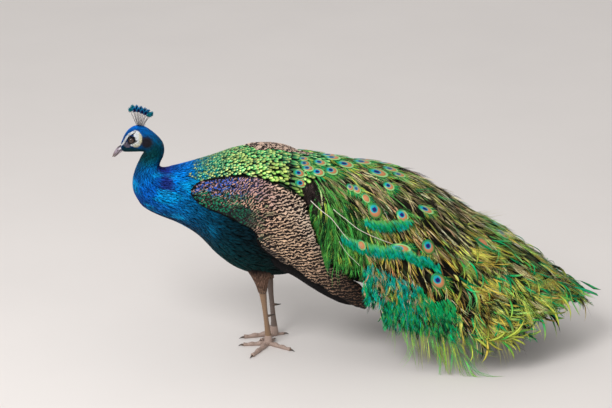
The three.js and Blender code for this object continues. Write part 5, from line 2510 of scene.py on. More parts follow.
@dataclass
class TailFan:
    """The brown tail that props the train: broad overlapping vanes seen from behind and below."""

    seed: int = 71
    count: int = 16
    half: float = 12.5
    # Place along each feather, part of the half width.
    outline: tuple = ((0, 0.4, 0.9, 0.97, 1), (0.45, 0.8, 1, 0.6, 0))
    tint: tuple = (112, 96, 82)
    bar: tuple = (58, 46, 40)

    def build(self) -> None:
        """Vanes fanned over the tail's surface, the middle ones on top."""
        rng = np.random.default_rng(self.seed)
        across, rings = np.linspace(-0.94, 0.94, self.count)[:, None], np.linspace(0, 1, 26)
        a = 0.02 + (2.93 - 0.2 * across**2) * rings
        lift = np.broadcast_to(1.5 - 3.2 * np.abs(across), a.shape)
        lines = Lines.laid(Tail(), a, across * (0.75 + 0.25 * rings)).raised(lift)
        halves = np.broadcast_to(self.half * np.interp(rings, *self.outline), a.shape)
        tint = srgb(*self.tint) * rng.uniform(0.75, 1.1, (self.count, 1, 1))
        shape = ribbons(lines, halves, halves * 0.1, tint, rng.random(self.count), 5, 0.05)
        finish = BarFinish("tail_feathers", bar=self.bar, cover=0.3, **NO_SHEEN)
        make_object("tail_fan", shape, finish.material(), ["tail"])


# ---------------- train

GRASS = (74, 172, 74)
LEAF_GREEN = (122, 196, 92)
GOLD_GREEN = (194, 208, 84)
GOLD = (232, 202, 88)
CREAM = (222, 208, 160)
TAN = (204, 166, 126)
OLIVE = (124, 126, 66)
BRONZE = (136, 98, 62)
COPPER = (212, 140, 98)
MOSS = (44, 58, 30)
SHADOW = (10, 12, 9)
DUSK = (32, 24, 22)
SOOT = (30, 26, 27)
DOWN = (72, 60, 58)
EMERALD = (0, 176, 104)
DEEP_EMERALD = (0, 104, 66)
TURQUOISE = (0, 176, 164)

# Angle of the barbs below level, in degrees, at every third row of the train and four places across.
FALL = np.array([
    (12, 40, 66, 84), (32, 44, 66, 86), (42, 50, 58, 78), (32, 36, 34, 20), (20, 22, 20, 12),
], float)
FALL_ROWS = 3
FALL_ACROSS = (0.0, 0.3, 0.6, 0.9)
FALL_GAP = 0.3
# How far across the dense barbs reach, by row.
HEM = np.array([
    (0, 0.9), (0.4, 0.72), (1.2, 0.7), (1.55, 0.92), (1.85, 1.35), (2.1, 1.3), (2.5, 1.12), (2.9, 0.96),
    (3.3, 0.88), (3.7, 0.89), (4.2, 0.91), (4.65, 0.9), (5.25, 0.87), (5.85, 0.85), (6.8, 0.84), (7.5, 0.85),
    (8.1, 0.84), (8.75, 0.8), (9.5, 0.68), (10.2, 0.5), (11, 0.34), (12.2, 0.2),
])


def hem(a: Array) -> Array:
    """How far across the dense barbs reach at each row."""
    return np.interp(a, HEM[:, 0], HEM[:, 1])


def barb_way(a: Array, b: Array, part: float, by_a: Array, by_b: Array) -> Array:
    """The way that the train's barbs lie: rearwards and down, steeper towards the rim.

    Formula: the angle below level from its list, smooth along the rows and straight between places across,
    and 10 degrees steeper at a barb's end than at its start.

    Args:
        a: rows.
        b: places across.
        part: the part of the barb that is walked.
        by_a: slope by a, which this way doesn't need.
        by_b: slope by b, which it doesn't need either.

    Returns:
        Unit vectors, but for a little aside.
    """
    rows = along(FALL, np.clip(a / FALL_ROWS, 0, len(FALL) - 1))
    wide = np.clip(np.abs(b), 0, 1)
    low = np.clip(np.searchsorted(FALL_ACROSS, wide, side="right") - 1, 0, 2)
    t = np.clip((wide - FALL_GAP * low) / FALL_GAP, 0, 1)
    near = np.take_along_axis(rows, low[..., None], -1)[..., 0]
    far = np.take_along_axis(rows, low[..., None] + 1, -1)[..., 0]
    fall = np.radians(near + (far - near) * t + 10 * (part - 0.5))
    return np.stack([np.cos(fall), 0.12 * np.sign(b), -np.sin(fall)], -1)


@dataclass(frozen=True)
class Zone:
    """A stretch of the train: where its locks of barbs root, and how they look.

    rows and wide bound the roots, and spread is how far a lock's barbs lie apart. beyond is how far past the
    hem they may run, lean turns them forwards, and locks of one family lie and shine alike.
    """

    name: str
    rows: tuple
    wide: tuple
    locks: int
    length: tuple
    colours: tuple
    barbs: int = 6
    half: float = 0.62
    spread: float = 1.2
    lift: tuple = (1.0, 4.5)
    stray: float = 0.09
    curl: float = 0.05
    tip: tuple = GOLD_GREEN
    tip_part: float = 0.3
    beyond: float = 0.0
    limited: bool = True
    lean: float = 0.0
    families: int = 0


ZONES = (
    # The under layer: dark barbs next to the base, painted shade under the barbs that lie over them.
    Zone("under", (0.3, 10.6), (0.0, 0.95), 560, (60, 95), ((SHADOW, 5), (DUSK, 3), (MOSS, 2)),
         9, 1.7, 5.0, (-3.5, 0.0), 0.2, 0.1, MOSS, 0.2),
    Zone("skirt", (1.4, 3.9), (0.5, 1.04), 360, (55, 110),
         ((GRASS, 6), (LEAF_GREEN, 3), (GOLD_GREEN, 1.5), (SHADOW, 6), (MOSS, 2), (DEEP_EMERALD, 1.5)),
         6, 0.55, 1.4, (1.0, 6.5), 0.15, 0.12, GRASS, 0.3, 0.04),
    Zone("fringe", (1.4, 2.7), (0.8, 1.3), 200, (50, 120),
         ((GRASS, 6), (LEAF_GREEN, 3), (GOLD_GREEN, 1), (SHADOW, 3), (DEEP_EMERALD, 2)), 5, 0.5, 2.0,
         (2.0, 7.0), 0.16, 0.16, GRASS, 0.3, 0.15, lean=0.74),
    Zone("saddle", (1.0, 4.0), (0.22, 0.62), 240, (50, 80),
         ((OLIVE, 3), (CREAM, 2.5), (GRASS, 3), (GOLD_GREEN, 2), (SHADOW, 7), (TAN, 1)), 4, 0.55, 0.8,
         stray=0.14, tip=CREAM),
    Zone("ridge", (2.4, 7.6), (0.0, 0.5), 720, (45, 90),
         ((CREAM, 3.5), (TAN, 3), (OLIVE, 2), (GOLD_GREEN, 3.5), (SHADOW, 10), (DUSK, 3), (GRASS, 2)),
         4, 0.58, 0.8, (1.0, 5.5), 0.13, 0.08, CREAM),
    Zone("flank", (3.4, 7.8), (0.4, 0.84), 560, (45, 80),
         ((TAN, 3), (GOLD, 3.5), (GOLD_GREEN, 3), (SHADOW, 8), (DUSK, 3), (BRONZE, 2), (CREAM, 2)),
         4, 0.58, 0.8, (1.0, 4.0), 0.14, 0.12, GOLD),
    Zone("rear", (6.4, 10.6), (0.0, 0.8), 560, (40, 85),
         ((GOLD_GREEN, 4), (GOLD, 5), (TAN, 2.5), (CREAM, 3), (SHADOW, 6), (LEAF_GREEN, 2), (COPPER, 1)),
         4, 0.6, 0.9, (1.0, 7.0), 0.26, 0.24, GOLD_GREEN, families=110),
    Zone("hem", (3.8, 8.6), (0.74, 0.95), 150, (40, 85),
         ((GRASS, 4), (DEEP_EMERALD, 3), (GOLD_GREEN, 2), (DUSK, 2), (TAN, 1)),
         4, 0.55, 2.4, (1.0, 5.0), 0.14, 0.2, GOLD_GREEN, 0.4, 0.14),
    Zone("strays", (4.6, 10.4), (0.0, 0.3), 80, (40, 70), ((OLIVE, 2), (DUSK, 3), (EMERALD, 1), (CREAM, 1)),
         4, 0.5, 3.0, (2.0, 13.0), 0.25, 0.3, BRONZE, 0.3),
    Zone("wisps", (3.9, 6.6), (0.8, 0.92), 64, (60, 150), ((GOLD_GREEN, 3), (GRASS, 3), (EMERALD, 3)), 3, 0.5,
         3.6, (1.0, 2.0), 0.1, 0.14, GOLD_GREEN, 0.6, limited=False),
    Zone("curls", (6.6, 10.6), (0.25, 0.9), 260, (40, 90),
         ((GOLD_GREEN, 4), (GOLD, 4), (CREAM, 2), (EMERALD, 1.5), (LEAF_GREEN, 2), (SHADOW, 3)), 3, 0.5, 1.2,
         (3.0, 13.0), 0.4, 0.45, GOLD, 0.4, 0.1, families=48),
    Zone("over", (3.4, 5.6), (0.67, 0.84), 80, (22, 46),
         ((TAN, 3), (GOLD, 3), (COPPER, 3), (SHADOW, 3), (GOLD_GREEN, 3)),
         3, 0.45, 1.6, (6.0, 9.5), 0.2, 0.2, GOLD, 0.3),
    Zone("down", (0.3, 1.8), (0.74, 1.1), 170, (20, 34), ((DUSK, 3), (DOWN, 5), (SOOT, 2)),
         12, 0.7, 4.0, (0.0, 4.5), 0.3, 0.3, DOWN, 0.3, limited=False),
)


@dataclass(frozen=True)
class Band:
    """A dense bright fringe: its upper edge as rows and widths, its barbs' length, and how deep it is."""

    edge: tuple
    length: tuple
    count: int
    colours: tuple
    depth: float = 0.0
    top: tuple = TURQUOISE
    stray: float = 0.03
    vary: float = 0.16


BANDS = (
    Band(((3.5, 0.545), (4.0, 0.52), (4.4, 0.48), (4.9, 0.43)), (18, 28), 210,
         ((EMERALD, 4), (DEEP_EMERALD, 2), (TURQUOISE, 3), (SHADOW, 1)), 0.04, LEAF_GREEN),
    Band(((2.65, 0.79), (3.0, 0.735), (3.45, 0.69), (4.05, 0.65), (4.55, 0.6), (5.0, 0.59), (5.2, 0.6)),
         (20, 29), 560, ((TURQUOISE, 5), (EMERALD, 4), (DEEP_EMERALD, 2)), 0.04, LEAF_GREEN),
    Band(((5.05, 0.6), (5.4, 0.575), (5.75, 0.57)), (18, 28), 80,
         ((EMERALD, 3), (DEEP_EMERALD, 1), (TURQUOISE, 2)), 0.03),
    Band(((3.6, 0.83), (3.95, 0.77), (4.65, 0.74), (5.2, 0.72)), (18, 40), 430,
         ((TURQUOISE, 5), (EMERALD, 4), (DEEP_EMERALD, 3), (SHADOW, 2.5), (TAN, 1.2)),
         0.17, stray=0.2, vary=0.5),
    Band(((4.2, 0.9), (4.5, 0.85), (5.2, 0.79), (5.9, 0.75), (6.3, 0.74)), (16, 42), 480,
         ((EMERALD, 5), (GRASS, 2.5), (TURQUOISE, 1), (DEEP_EMERALD, 3), (SHADOW, 3)),
         0.11, EMERALD, 0.16, 0.5),
    Band(((5.2, 0.72), (5.6, 0.74), (6.0, 0.7), (6.25, 0.71)), (20, 30), 90,
         ((EMERALD, 4), (GRASS, 2), (SHADOW, 1)), 0.05, EMERALD),
)


@dataclass
class TrainCoat:
    """The train's base shell and its loose barbs, which hang in locks over it."""

    seed: int = 81
    rings: int = 8
    depths: tuple = (6.0, 8.5)
    shortest: float = 16.0
    end_row: float = 11.6
    # How far the locks of a family lie apart: rows, places across.
    apart: tuple = (0.11, 0.016)

    def base(self) -> Shape:
        """A dark thin tent under the barbs, painted shade where it shows between them: the train's surface
        moved in, a little short of the hem.

        Returns:
            The closed sheet.
        """
        a, wide = np.meshgrid(np.linspace(0.05, 10.4, 120), np.linspace(-1, 1, 60), indexing="ij")
        reach = np.minimum(hem(a), 0.98) - 0.07 - 0.1 * ease(8, 10, a)
        points, _, _, normals = Train().slopes(a, wide * reach)
        # Painted shade: shadow-dark colours for the gaps between the barbs.
        tint = mix(srgb(*SHADOW), srgb(*DUSK), ease(0, 1, mottle(points, 60, 2)))
        return shell(points - normals * self.depths[0], points - normals * self.depths[1], tint)

    @staticmethod
    def tints(zone: Zone, roots: Array, wild: Array, owner: Array, family: Array,
              rng: Random) -> tuple[Array, Array]:
        """Colours of the barbs, by family and lock, with soft patches of painted shade and, at the rear,
        emerald patches and painted light and shade.

        Args:
            zone: whose colours they are.
            roots: each lock's root.
            wild: how far each lock lies in the rear, from 0 to 1.
            owner: each barb's lock.
            family: each lock's family.
            rng: source of the choice.

        Returns:
            Each barb's colour, and how bright it was picked, from 0 to 1.
        """
        count, most = len(owner), family.max() + 1
        light = rng.uniform(0.5, 1.55, (most, 1))[family][owner] * rng.uniform(0.8, 1.2, (count, 1))
        tint = pick(rng, zone.colours, most)[family][owner] * light
        # Painted shade: soft darker pockets between the locks.
        tint = tint * (0.4 + 1.0 * ease(-0.4, 0.4, mottle(roots, 20, 4)))[owner, None]
        odd = rng.random(count) < 0.12
        tint = np.where(odd[:, None], pick(rng, zone.colours, count), tint)
        bright = np.clip(tint.sum(1) * 4, 0, 1)
        green = 0.55 * bright * (wild * ease(0.2, 0.55, mottle(roots, 34, 9)))[owner]
        tint = mix(tint, srgb(*EMERALD) * rng.uniform(0.5, 1.3, (count, 1)), green)
        # Painted light and shade: at the rear, soft patches made brighter or much darker.
        shade = 1 + 0.5 * wild - 1.15 * wild * ease(0.15, 0.6, mottle(roots, 26, 12))
        return tint * shade[owner, None], bright

    def walked(self, zone: Zone, a: Array, b: Array, length: Array, rng: Random,
               family: Array | None = None) -> Shape:
        """Barbs in locks.

        Formula: each lock's middle line is walked over the train, and its barbs run beside it, some way apart
        at their roots and closing in towards the tip, each over its own share of the line.

        Args:
            zone: how they grow.
            a: row of each lock.
            b: width of each lock.
            length: how long each is.
            rng: source of their unevenness and colours.
            family: each lock's family, which shares a way and a colour; if left out, each is its own.

        Returns:
            The barbs as one shape.
        """
        train, locks = Train(), len(a)
        family = np.arange(locks) if family is None else family
        most = family.max() + 1
        turn = rng.normal(0, zone.stray, (most, 3))[family] - np.array([zone.lean, 0, 0])

        def strayed(a_now: Array, b_now: Array, part: float, slope_a: Array, slope_b: Array) -> Array:
            """The barbs' way, turned a little for each lock."""
            return barb_way(a_now, b_now, part, slope_a, slope_b) + turn

        path = march(train, a, b, strayed, length, np.linspace(0, 1, self.rings))
        path = path.raised(rng.uniform(0, 1.5, (locks, 1)) + np.linspace(*zone.lift, self.rings)[None])
        count, last = locks * zone.barbs, self.rings - 1
        owner = np.repeat(np.arange(locks), zone.barbs)
        start, stop = rng.uniform(0, 0.25, count), rng.uniform(0.7, 1.0, count)
        parts = STRAND[:, 0]
        place = (start[:, None] + (stop - start)[:, None] * parts) * last
        low = np.clip(np.floor(place).astype(int), 0, last - 1)
        between = (place - low)[..., None]

        def picked(values: Array) -> Array:
            """Values of the lock's line at each barb's rings."""
            return values[owner[:, None], low] * (1 - between) + values[owner[:, None], low + 1] * between

        normals, ways = unit(picked(path.normals)), unit(picked(path.ways))
        offset = rng.normal(0, zone.spread, (count, 1)) * (1 - 0.5 * place / last)
        bend = rng.normal(0, zone.curl, most)[family][owner] + rng.normal(0, 0.3 * zone.curl, count)
        offset = offset + (bend * length[owner])[:, None] * parts**2
        high = rng.uniform(-0.8, 1.0, (count, 1)) + rng.uniform(0, 1.2, (count, 1)) * parts
        points = picked(path.points) + picked(path.across) * offset[..., None] + normals * high[..., None]
        points[..., 2] = np.maximum(points[..., 2], rng.uniform(0.5, 2.5, (count, 1)))
        spot = train.spot(a, b)[owner] + np.stack([offset[:, 0] / 1100, rng.normal(0, 0.002, count)], -1)
        lines = Lines(points, normals, ways, spot)
        tint, bright = self.tints(zone, path.points[:, 0], ease(5.8, 7.4, a), owner, family, rng)
        tints = mix(tint[:, None], srgb(*zone.tip), zone.tip_part * bright[:, None] * parts)
        halves = zone.half * rng.uniform(0.75, 1.25, (count, 1)) * STRAND[:, 1]
        return ribbons(lines, halves, halves * 0.5, tints, rng.random(count))

    def locks(self, zone: Zone, side: Side, rng: Random) -> Shape:
        """A zone's barbs, none longer than the way to the hem.

        Args:
            zone: how they grow.
            side: which side of the train.
            rng: source of their places.

        Returns:
            The barbs.
        """
        a = rng.uniform(*zone.rows, zone.locks)
        b = rng.uniform(*zone.wide, zone.locks)
        family = rng.integers(zone.families, size=zone.locks) if zone.families else np.arange(zone.locks)
        if zone.families:
            a, b = (value[family] + rng.normal(0, far, zone.locks) for value, far in zip((a, b), self.apart))
        kept = (b < hem(a) - 0.02) | (not zone.limited)
        a, b, family = a[kept], b[kept] * side.value, family[kept]
        length = rng.uniform(*zone.length, len(a))
        if zone.limited:
            _, by_a, by_b, _ = Train().slopes(a, b)
            step_a, step_b = Train().steer(by_a, by_b, barb_way(a, b, 0.5, by_a, by_b))
            rim = (hem(a + step_a * 40) + zone.beyond - np.abs(b)) / np.maximum(np.abs(step_b), 1e-5)
            end = (self.end_row - a) / np.maximum(step_a, 1e-5)
            most = np.minimum(rim, end) * rng.uniform(0.8, 1.15, len(a))
            length = np.maximum(np.minimum(length, most), self.shortest)
        return self.walked(zone, a, b, length, rng, family)

    def bands(self, side: Side, rng: Random) -> Shape:
        """The dense bright fringes, whose barbs are pale at the upper edge and emerald at their ends.

        Args:
            side: which side of the train.
            rng: source of the barbs' places and colours.

        Returns:
            All of them as one shape.
        """
        shapes = []
        for band in BANDS:
            edge = np.array(band.edge)
            place = rng.uniform(0, 1, band.count) * (len(edge) - 1)
            a, b = np.moveaxis(along(edge, place), -1, 0)
            a = a + rng.normal(0, 0.45 * band.stray, band.count)
            deep = rng.uniform(0, 1, band.count)
            b = (b + band.depth * deep) * side.value
            bulge = np.sin(np.pi * np.clip(place / (len(edge) - 1), 0.1, 0.9))
            length = rng.uniform(*band.length, band.count) * (0.55 + 0.45 * bulge)
            zone = Zone("band", (0, 0), (0, 0), 0, (0, 0), band.colours, barbs=4, half=0.5, spread=1.6,
                        lift=(6.0, 8.5), stray=band.stray, curl=band.stray, tip=band.top, tip_part=0.0)
            shape = self.walked(zone, a, b, length, rng)
            per = len(shape.tint) // band.count
            fresh = pick(rng, band.colours, band.count)
            fresh = fresh * rng.uniform(1 - band.vary, 1 + band.vary, (band.count, 1))
            edged = 1 - ease(0.1, 0.5, deep)
            pale = np.repeat(edged, per) * (1 - ease(0.1, 0.7, shape.vane[:, 1]))
            ends = 0.5 * ease(0.6, 1.0, shape.vane[:, 1])
            fresh = mix(np.repeat(fresh, per, axis=0), srgb(*EMERALD) * 0.8, ends)
            shape.tint = mix(fresh, srgb(*band.top), 0.85 * pale)
            shapes.append(shape)
        return Shape.joined(shapes)

    def build(self) -> None:
        """The base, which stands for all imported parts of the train, and one piece for each zone and side."""
        material = BarbFinish("train_barbs").material()
        ground = BarbFinish("train_ground", roughness=0.8, metallic=0.0).material()
        wides, lengths = ("left", "ridge", "right"), ("fore", "mid", "rear")
        nodes = [f"train_{wide}_{length}" for wide in wides for length in lengths]
        make_object("train_base", self.base(), ground, nodes)
        for side in Side:
            rng = np.random.default_rng(self.seed + side.value)
            for zone in ZONES:
                shape = self.locks(zone, side, rng)
                make_object(f"train_{zone.name}_{side.word}", shape, material)
            make_object(f"train_bands_{side.word}", self.bands(side, rng), material)


# The eyes of the train, on one side: row, width from the ridge, half width, length, angle below level in
# degrees, strength of the blue heart.
OCELLI = (
    (0.40, 0.28, 9.0, 23, 15, 0.8), (0.55, 0.41, 10.0, 25, 20, 0.9), (0.80, 0.50, 10.0, 27, 22, 0.9),
    (1.60, 0.22, 11.5, 30, 14, 1.0), (1.50, 0.45, 12.0, 29, 16, 1.0), (2.20, 0.30, 12.5, 30, 14, 1.0),
    (2.25, 0.04, 12.5, 36, 6, 1.0), (2.75, 0.13, 12.5, 40, 10, 1.0), (3.40, 0.03, 12.0, 42, 10, 1.0),
    (3.95, 0.15, 12.0, 46, 22, 1.0), (4.35, 0.06, 10.0, 36, 22, 0.9), (4.60, 0.12, 8.0, 30, 24, 0.8),
    (4.30, 0.26, 10.0, 28, 40, 1.0), (2.95, 0.38, 7.5, 20, 50, 0.7), (3.20, 0.37, 8.5, 24, 55, 0.8),
    (3.55, 0.41, 8.0, 26, 55, 0.0), (3.87, 0.47, 16.0, 36, 66, 1.0), (4.70, 0.43, 13.0, 32, 55, 1.0),
    (5.35, 0.32, 8.5, 38, 24, 1.0), (4.62, 0.615, 11.0, 48, 8, 0.9), (5.45, 0.52, 15.0, 34, 72, 1.0),
    (5.75, 0.65, 16.5, 38, 56, 1.0), (3.40, 0.72, 9.0, 26, 60, 0.0), (7.20, 0.29, 13.0, 34, 52, 0.0),
    (7.90, 0.08, 13.0, 36, 30, 0.9),
)
# Two more on the rump beside the wing: station and angle on the body.
RUMP_OCELLI = ((19.35, 0.66), (19.45, 0.83))


@dataclass
class Ocelli:
    """The eyes of the train: round vanes with their rings, each in a ruff of loose barbs."""

    seed: int = 91
    lift: float = 7.0
    small: float = 12.8
    small_lift: float = 5.0
    rump_lift: float = 14.0
    # Half width, length, angle below level and strength of the heart of the two on the rump.
    rump_look: tuple = (10.5, 27, 4, 1.0)
    # Place along each vane, part of the half width.
    outline: tuple = ((0, 0.15, 0.35, 0.6, 0.8, 0.9, 0.97, 1), (0.45, 0.75, 0.96, 1, 0.84, 0.64, 0.36, 0))
    ruff: int = 40
    ruff_turn: float = 2.4

    def vanes(self, surface: Surface, rows: Array, side: Side, lift: Array | float,
              rng: Random) -> tuple[Shape, Lines]:
        """Round-ended vanes about listed middles.

        Formula: each line is walked back from its middle by 45 percent of its length, and then forth. The
        grain becomes the place about the middle, as a part of the half length and half width.

        Args:
            surface: what they lie on.
            rows: a, width, half width, length, angle below level and strength of the heart.
            side: which side of the bird.
            lift: how far they stand off.
            rng: source of their unevenness.

        Returns:
            The vanes and their middle lines.
        """
        a, b, half, length = rows[:, 0], rows[:, 1] * side.value, rows[:, 2], rows[:, 3]
        fall = np.radians(rows[:, 4])
        way = np.stack([np.cos(fall), np.full(len(a), 0.1 * side.value), -np.sin(fall)], -1)
        root = march(surface, a, b, -way, length * 0.45, np.array([0, 1.0]))
        parts = np.array([0, 0.06, 0.16, 0.3, 0.45, 0.6, 0.74, 0.85, 0.93, 0.98, 1])
        lines = march(surface, root.a[:, 1], root.b[:, 1], way, length, parts)
        rise = lift + rng.uniform(0, 1.0, len(a))
        lines = lines.raised(rise[:, None] + rng.uniform(0, 2.5, (len(a), 1)) * parts)
        halves = half[:, None] * np.interp(parts, *self.outline)
        looks = np.stack([rows[:, 5], half < 14, np.zeros(len(a))], -1)[:, None]
        shape = ribbons(lines, halves, halves * 0.14, looks, rng.random(len(a)), 11, 0.06)
        per = len(shape.points) // len(a)
        wide, long = np.repeat(half, per), np.repeat(length / 2, per)
        forth, aside, chance = shape.grain.T
        shape.grain = np.stack([(forth - long) / long, aside / wide, chance], -1)
        return shape, lines

    def ruffs(self, lines: Lines, rows: Array, rng: Random) -> Shape:
        """Loose barbs that spray from round each vane.

        Formula: they start on an ellipse about the vane's middle and point out from it, bent towards its tip.

        Args:
            lines: the vanes' middle lines.
            rows: the vanes' sizes, as vanes takes them.
            rng: source of their unevenness.

        Returns:
            The barbs.
        """
        count = len(rows) * self.ruff
        owner = np.repeat(np.arange(len(rows)), self.ruff)
        half, length = rows[owner, 2], rows[owner, 3]
        turn = np.tile(np.linspace(-self.ruff_turn, self.ruff_turn, self.ruff), len(rows))
        turn = (turn + rng.normal(0, 0.05, count))[:, None]
        middle, ways, normals, across = (
            value[owner, 5] for value in (lines.points, lines.ways, lines.normals, lines.across)
        )
        out = ways * np.cos(turn) + across * np.sin(turn)
        start = middle + ways * np.cos(turn) * (length * 0.36)[:, None]
        start = start + across * np.sin(turn) * (half * 0.8)[:, None] - normals * 0.9
        sweep = unit(out * 0.7 + ways * 0.9 - normals * 0.14)
        reach = (half * rng.uniform(0.8, 1.9, count) + 3)[:, None] * STRAND[:, 0]
        spot = lines.spot[owner] + rng.normal(0, 0.004, (count, 2))
        ruff = Lines.straight(start, sweep, normals, reach, spot)
        ruff.points[..., 2] = np.maximum(ruff.points[..., 2], 1.0)
        tint = pick(rng, ((GRASS, 3), (EMERALD, 2), (GOLD_GREEN, 2), (DEEP_EMERALD, 2)), count)
        thin = rng.uniform(0.4, 0.7, (count, 1)) * STRAND[:, 1]
        return ribbons(ruff, thin, thin * 0.5, tint[:, None], rng.random(count))

    def build(self) -> None:
        """One piece for each side's vanes, and one for their ruffs."""
        eye = OcellusFinish().material()
        barbs = BarbFinish("ocellus_ruff").material()
        for side in Side:
            rng = np.random.default_rng(self.seed + side.value)
            rows = np.array(OCELLI)
            if side is Side.RIGHT:
                rows[:, 0] += rng.uniform(-0.2, 0.2, len(rows))
                rows[:, 1] = np.clip(rows[:, 1] + rng.uniform(-0.04, 0.04, len(rows)), 0.05, 1)
            lift = np.where(rows[:, 2] < self.small, self.lift, self.small_lift)
            shape, lines = self.vanes(Train(), rows, side, lift, rng)
            beside = np.array([(*place, *self.rump_look) for place in RUMP_OCELLI])
            rump, _ = self.vanes(Body(), beside, side, self.rump_lift, rng)
            make_object(f"ocelli_{side.word}", Shape.joined([shape, rump]), eye)
            make_object(f"ocelli_ruff_{side.word}", self.ruffs(lines, rows, rng), barbs)


@dataclass
class Fishtails:
    """Curled leaf-like vanes at the rear of the train, each forked in two, with the bare white shafts."""

    seed: int = 101
    forks: int = 120
    hanging: int = 9
    length: tuple = (24, 76)
    half: tuple = (0.8, 4.0)
    curl: float = 0.85
    root_colours: tuple = (
        (EMERALD, 6), (DEEP_EMERALD, 3), (GRASS, 4), (GOLD_GREEN, 2), (GOLD, 1), (SHADOW, 5),
    )
    end_colours: tuple = ((GOLD, 2), (GOLD_GREEN, 4), (EMERALD, 4), (COPPER, 0.6), (SHADOW, 2))
    hanging_colours: tuple = ((GOLD_GREEN, 3), (OLIVE, 2), (GRASS, 2))
    # The fork beyond the train's tip: its root and its two ends, and the colours there.
    lone_fork: tuple = ((684, 20, 140), (738, 30, 98), (760, 26, 118))
    lone_colours: tuple = ((20, 140, 96), (70, 170, 90))
    # Bare shafts: rows and places across, and each one's half width.
    shaft_paths: tuple = (
        ((1.2, 1.04), (1.8, 0.95), (2.25, 0.85), (2.6, 0.8), (2.95, 0.77)),
        ((2.3, 0.73), (2.8, 0.66), (3.35, 0.642), (3.9, 0.63), (4.45, 0.61)),
        ((2.55, 0.9), (2.75, 0.88), (2.95, 0.86), (3.15, 0.845), (3.4, 0.84)),
    )
    shaft_halves: tuple = (0.95, 0.8, 0.5)
    shaft_tint: tuple = (232, 224, 212)

    def lobes(self, side: Side, rng: Random) -> Shape:
        """Pairs of vanes that part from one root and curl up and aside.

        The first forks hang from the hem, and the last of all lies alone beyond the train's tip.

        Args:
            side: which side of the train.
            rng: source of their places, sizes and colours.

        Returns:
            The vanes.
        """
        train = Train()
        a = np.repeat(rng.uniform(6.4, 10.6, self.forks), 2)
        b = np.repeat(rng.uniform(0.25, 1.0, self.forks), 2) * (hem(a) + 0.04) * side.value
        low = slice(0, 2 * self.hanging)
        a[low] = np.repeat(rng.uniform(6.7, 8.2, self.hanging), 2)
        b[low] = (hem(a[low]) - 0.02) * side.value
        a[-2:], b[-2:] = 11.2, 0.5 * side.value
        count = len(a)
        fork = np.tile([-1.0, 1.0], self.forks)
        turn = np.repeat(rng.normal(0, 0.45, self.forks), 2) + fork * rng.uniform(0.1, 0.45, count)
        size = np.repeat(rng.uniform(0, 1, self.forks) ** 1.6, 2)
        size[low], turn[low] = 0.7, turn[low] - 0.75 * side.value
        size[-2:], turn[-2:] = 1.0, (-0.15, 0.35)
        length = span(self.length, size) * rng.uniform(0.75, 1.1, count)
        length = np.minimum(length, (12.0 - a) * 42 + 14)
        length[-2:] = 66, 50
        parts = np.array([0, 0.15, 0.35, 0.55, 0.75, 0.9, 1])

        def way(a_now: Array, b_now: Array, part: float, by_a: Array, by_b: Array) -> Array:
            """The barbs' way, turned by the fork and curling further towards the tip.

            Formula: the way by the cosine of the angle, plus the way across it by the sine.

            Args:
                a_now: rows.
                b_now: places across.
                part: the part of the vane that is walked.
                by_a: slope by a.
                by_b: slope by b.

            Returns:
                The ways.
            """
            flat = barb_way(a_now, b_now, part, by_a, by_b)
            normal = unit(np.cross(by_a, by_b))
            angle = turn + fork * self.curl * (part - 0.2)
            return flat * np.cos(angle)[:, None] + np.cross(normal, flat) * np.sin(angle)[:, None]

        lines = march(train, a, b, way, length, parts)
        root, *ends = (np.array([x, y * side.value, z]) for x, y, z in self.lone_fork)
        lines.points[-2:] = mix(root, np.array(ends)[:, None], parts)
        rise = rng.uniform(3, 8, (count, 1)) + rng.uniform(0, 10, (count, 1)) * np.sin(parts * np.pi * 0.9)
        lines = lines.raised(rise)
        lines.points[..., 2] = np.maximum(lines.points[..., 2], 2.0)
        roll = np.radians(rng.normal(0, 28, (count, 1)) + 40 * (parts - 0.5) * fork[:, None])
        roll[-2:] = 0
        normals = lines.normals * np.cos(roll)[..., None] + lines.across * np.sin(roll)[..., None]
        lines = replace(lines, normals=normals)
        widest = span(self.half, size)[:, None] * rng.uniform(0.8, 1.2, (count, 1))
        halves = widest * np.interp(parts, [0, 0.35, 0.7, 1], [0.3, 1, 0.85, 0])
        tint, ends = pick(rng, self.root_colours, count), pick(rng, self.end_colours, count)
        tint[low], ends[low] = pick(rng, self.hanging_colours, 2 * self.hanging), srgb(*GOLD_GREEN)
        tint[-2:], ends[-2:] = (srgb(*colour) for colour in self.lone_colours)
        tints = mix(tint[:, None], ends[:, None], 0.8 * ease(0.3, 1, parts))
        return ribbons(lines, halves, halves * 0.25, tints, rng.random(count), 5)

    def shafts(self, side: Side, rng: Random) -> Shape:
        """Bare shafts along listed places on the train, bowed out in the middle.

        Args:
            side: which side of the train.
            rng: source of each one's chance.

        Returns:
            The shafts.
        """
        steps = np.linspace(0, 4, 26)
        places = np.stack([along(np.array(path), steps) for path in self.shaft_paths])
        a, b = places[..., 0], places[..., 1] * side.value
        lines = Lines.laid(Train(), a, b)
        lines = replace(lines, ways=unit(np.gradient(lines.points, axis=1)))
        lift = np.broadcast_to(11.0 - 2.5 * np.abs(steps / 2 - 1), a.shape)
        halves = np.array(self.shaft_halves)[:, None] * np.interp(steps, [0, 3.8, 4], [1, 0.7, 0])
        tint = srgb(*self.shaft_tint)
        return ribbons(lines.raised(lift), halves, halves, tint, rng.random(len(a)), 5, 0.02)

    def build(self) -> None:
        """Vanes and shafts of each side."""
        looks = {"roughness": 0.35, "metallic": 0.3, "barbs": 2.0, "contrast": 0.4, "edge": 0.45}
        vanes = FeatherFinish("fishtail", **looks).material()
        shaft = HornFinish("feather_shaft", roughness=0.4).material()
        for side in Side:
            rng = np.random.default_rng(self.seed + side.value)
            make_object(f"fishtails_{side.word}", self.lobes(side, rng), vanes)
            make_object(f"feather_shafts_{side.word}", self.shafts(side, rng), shaft)


# ---------------- stage


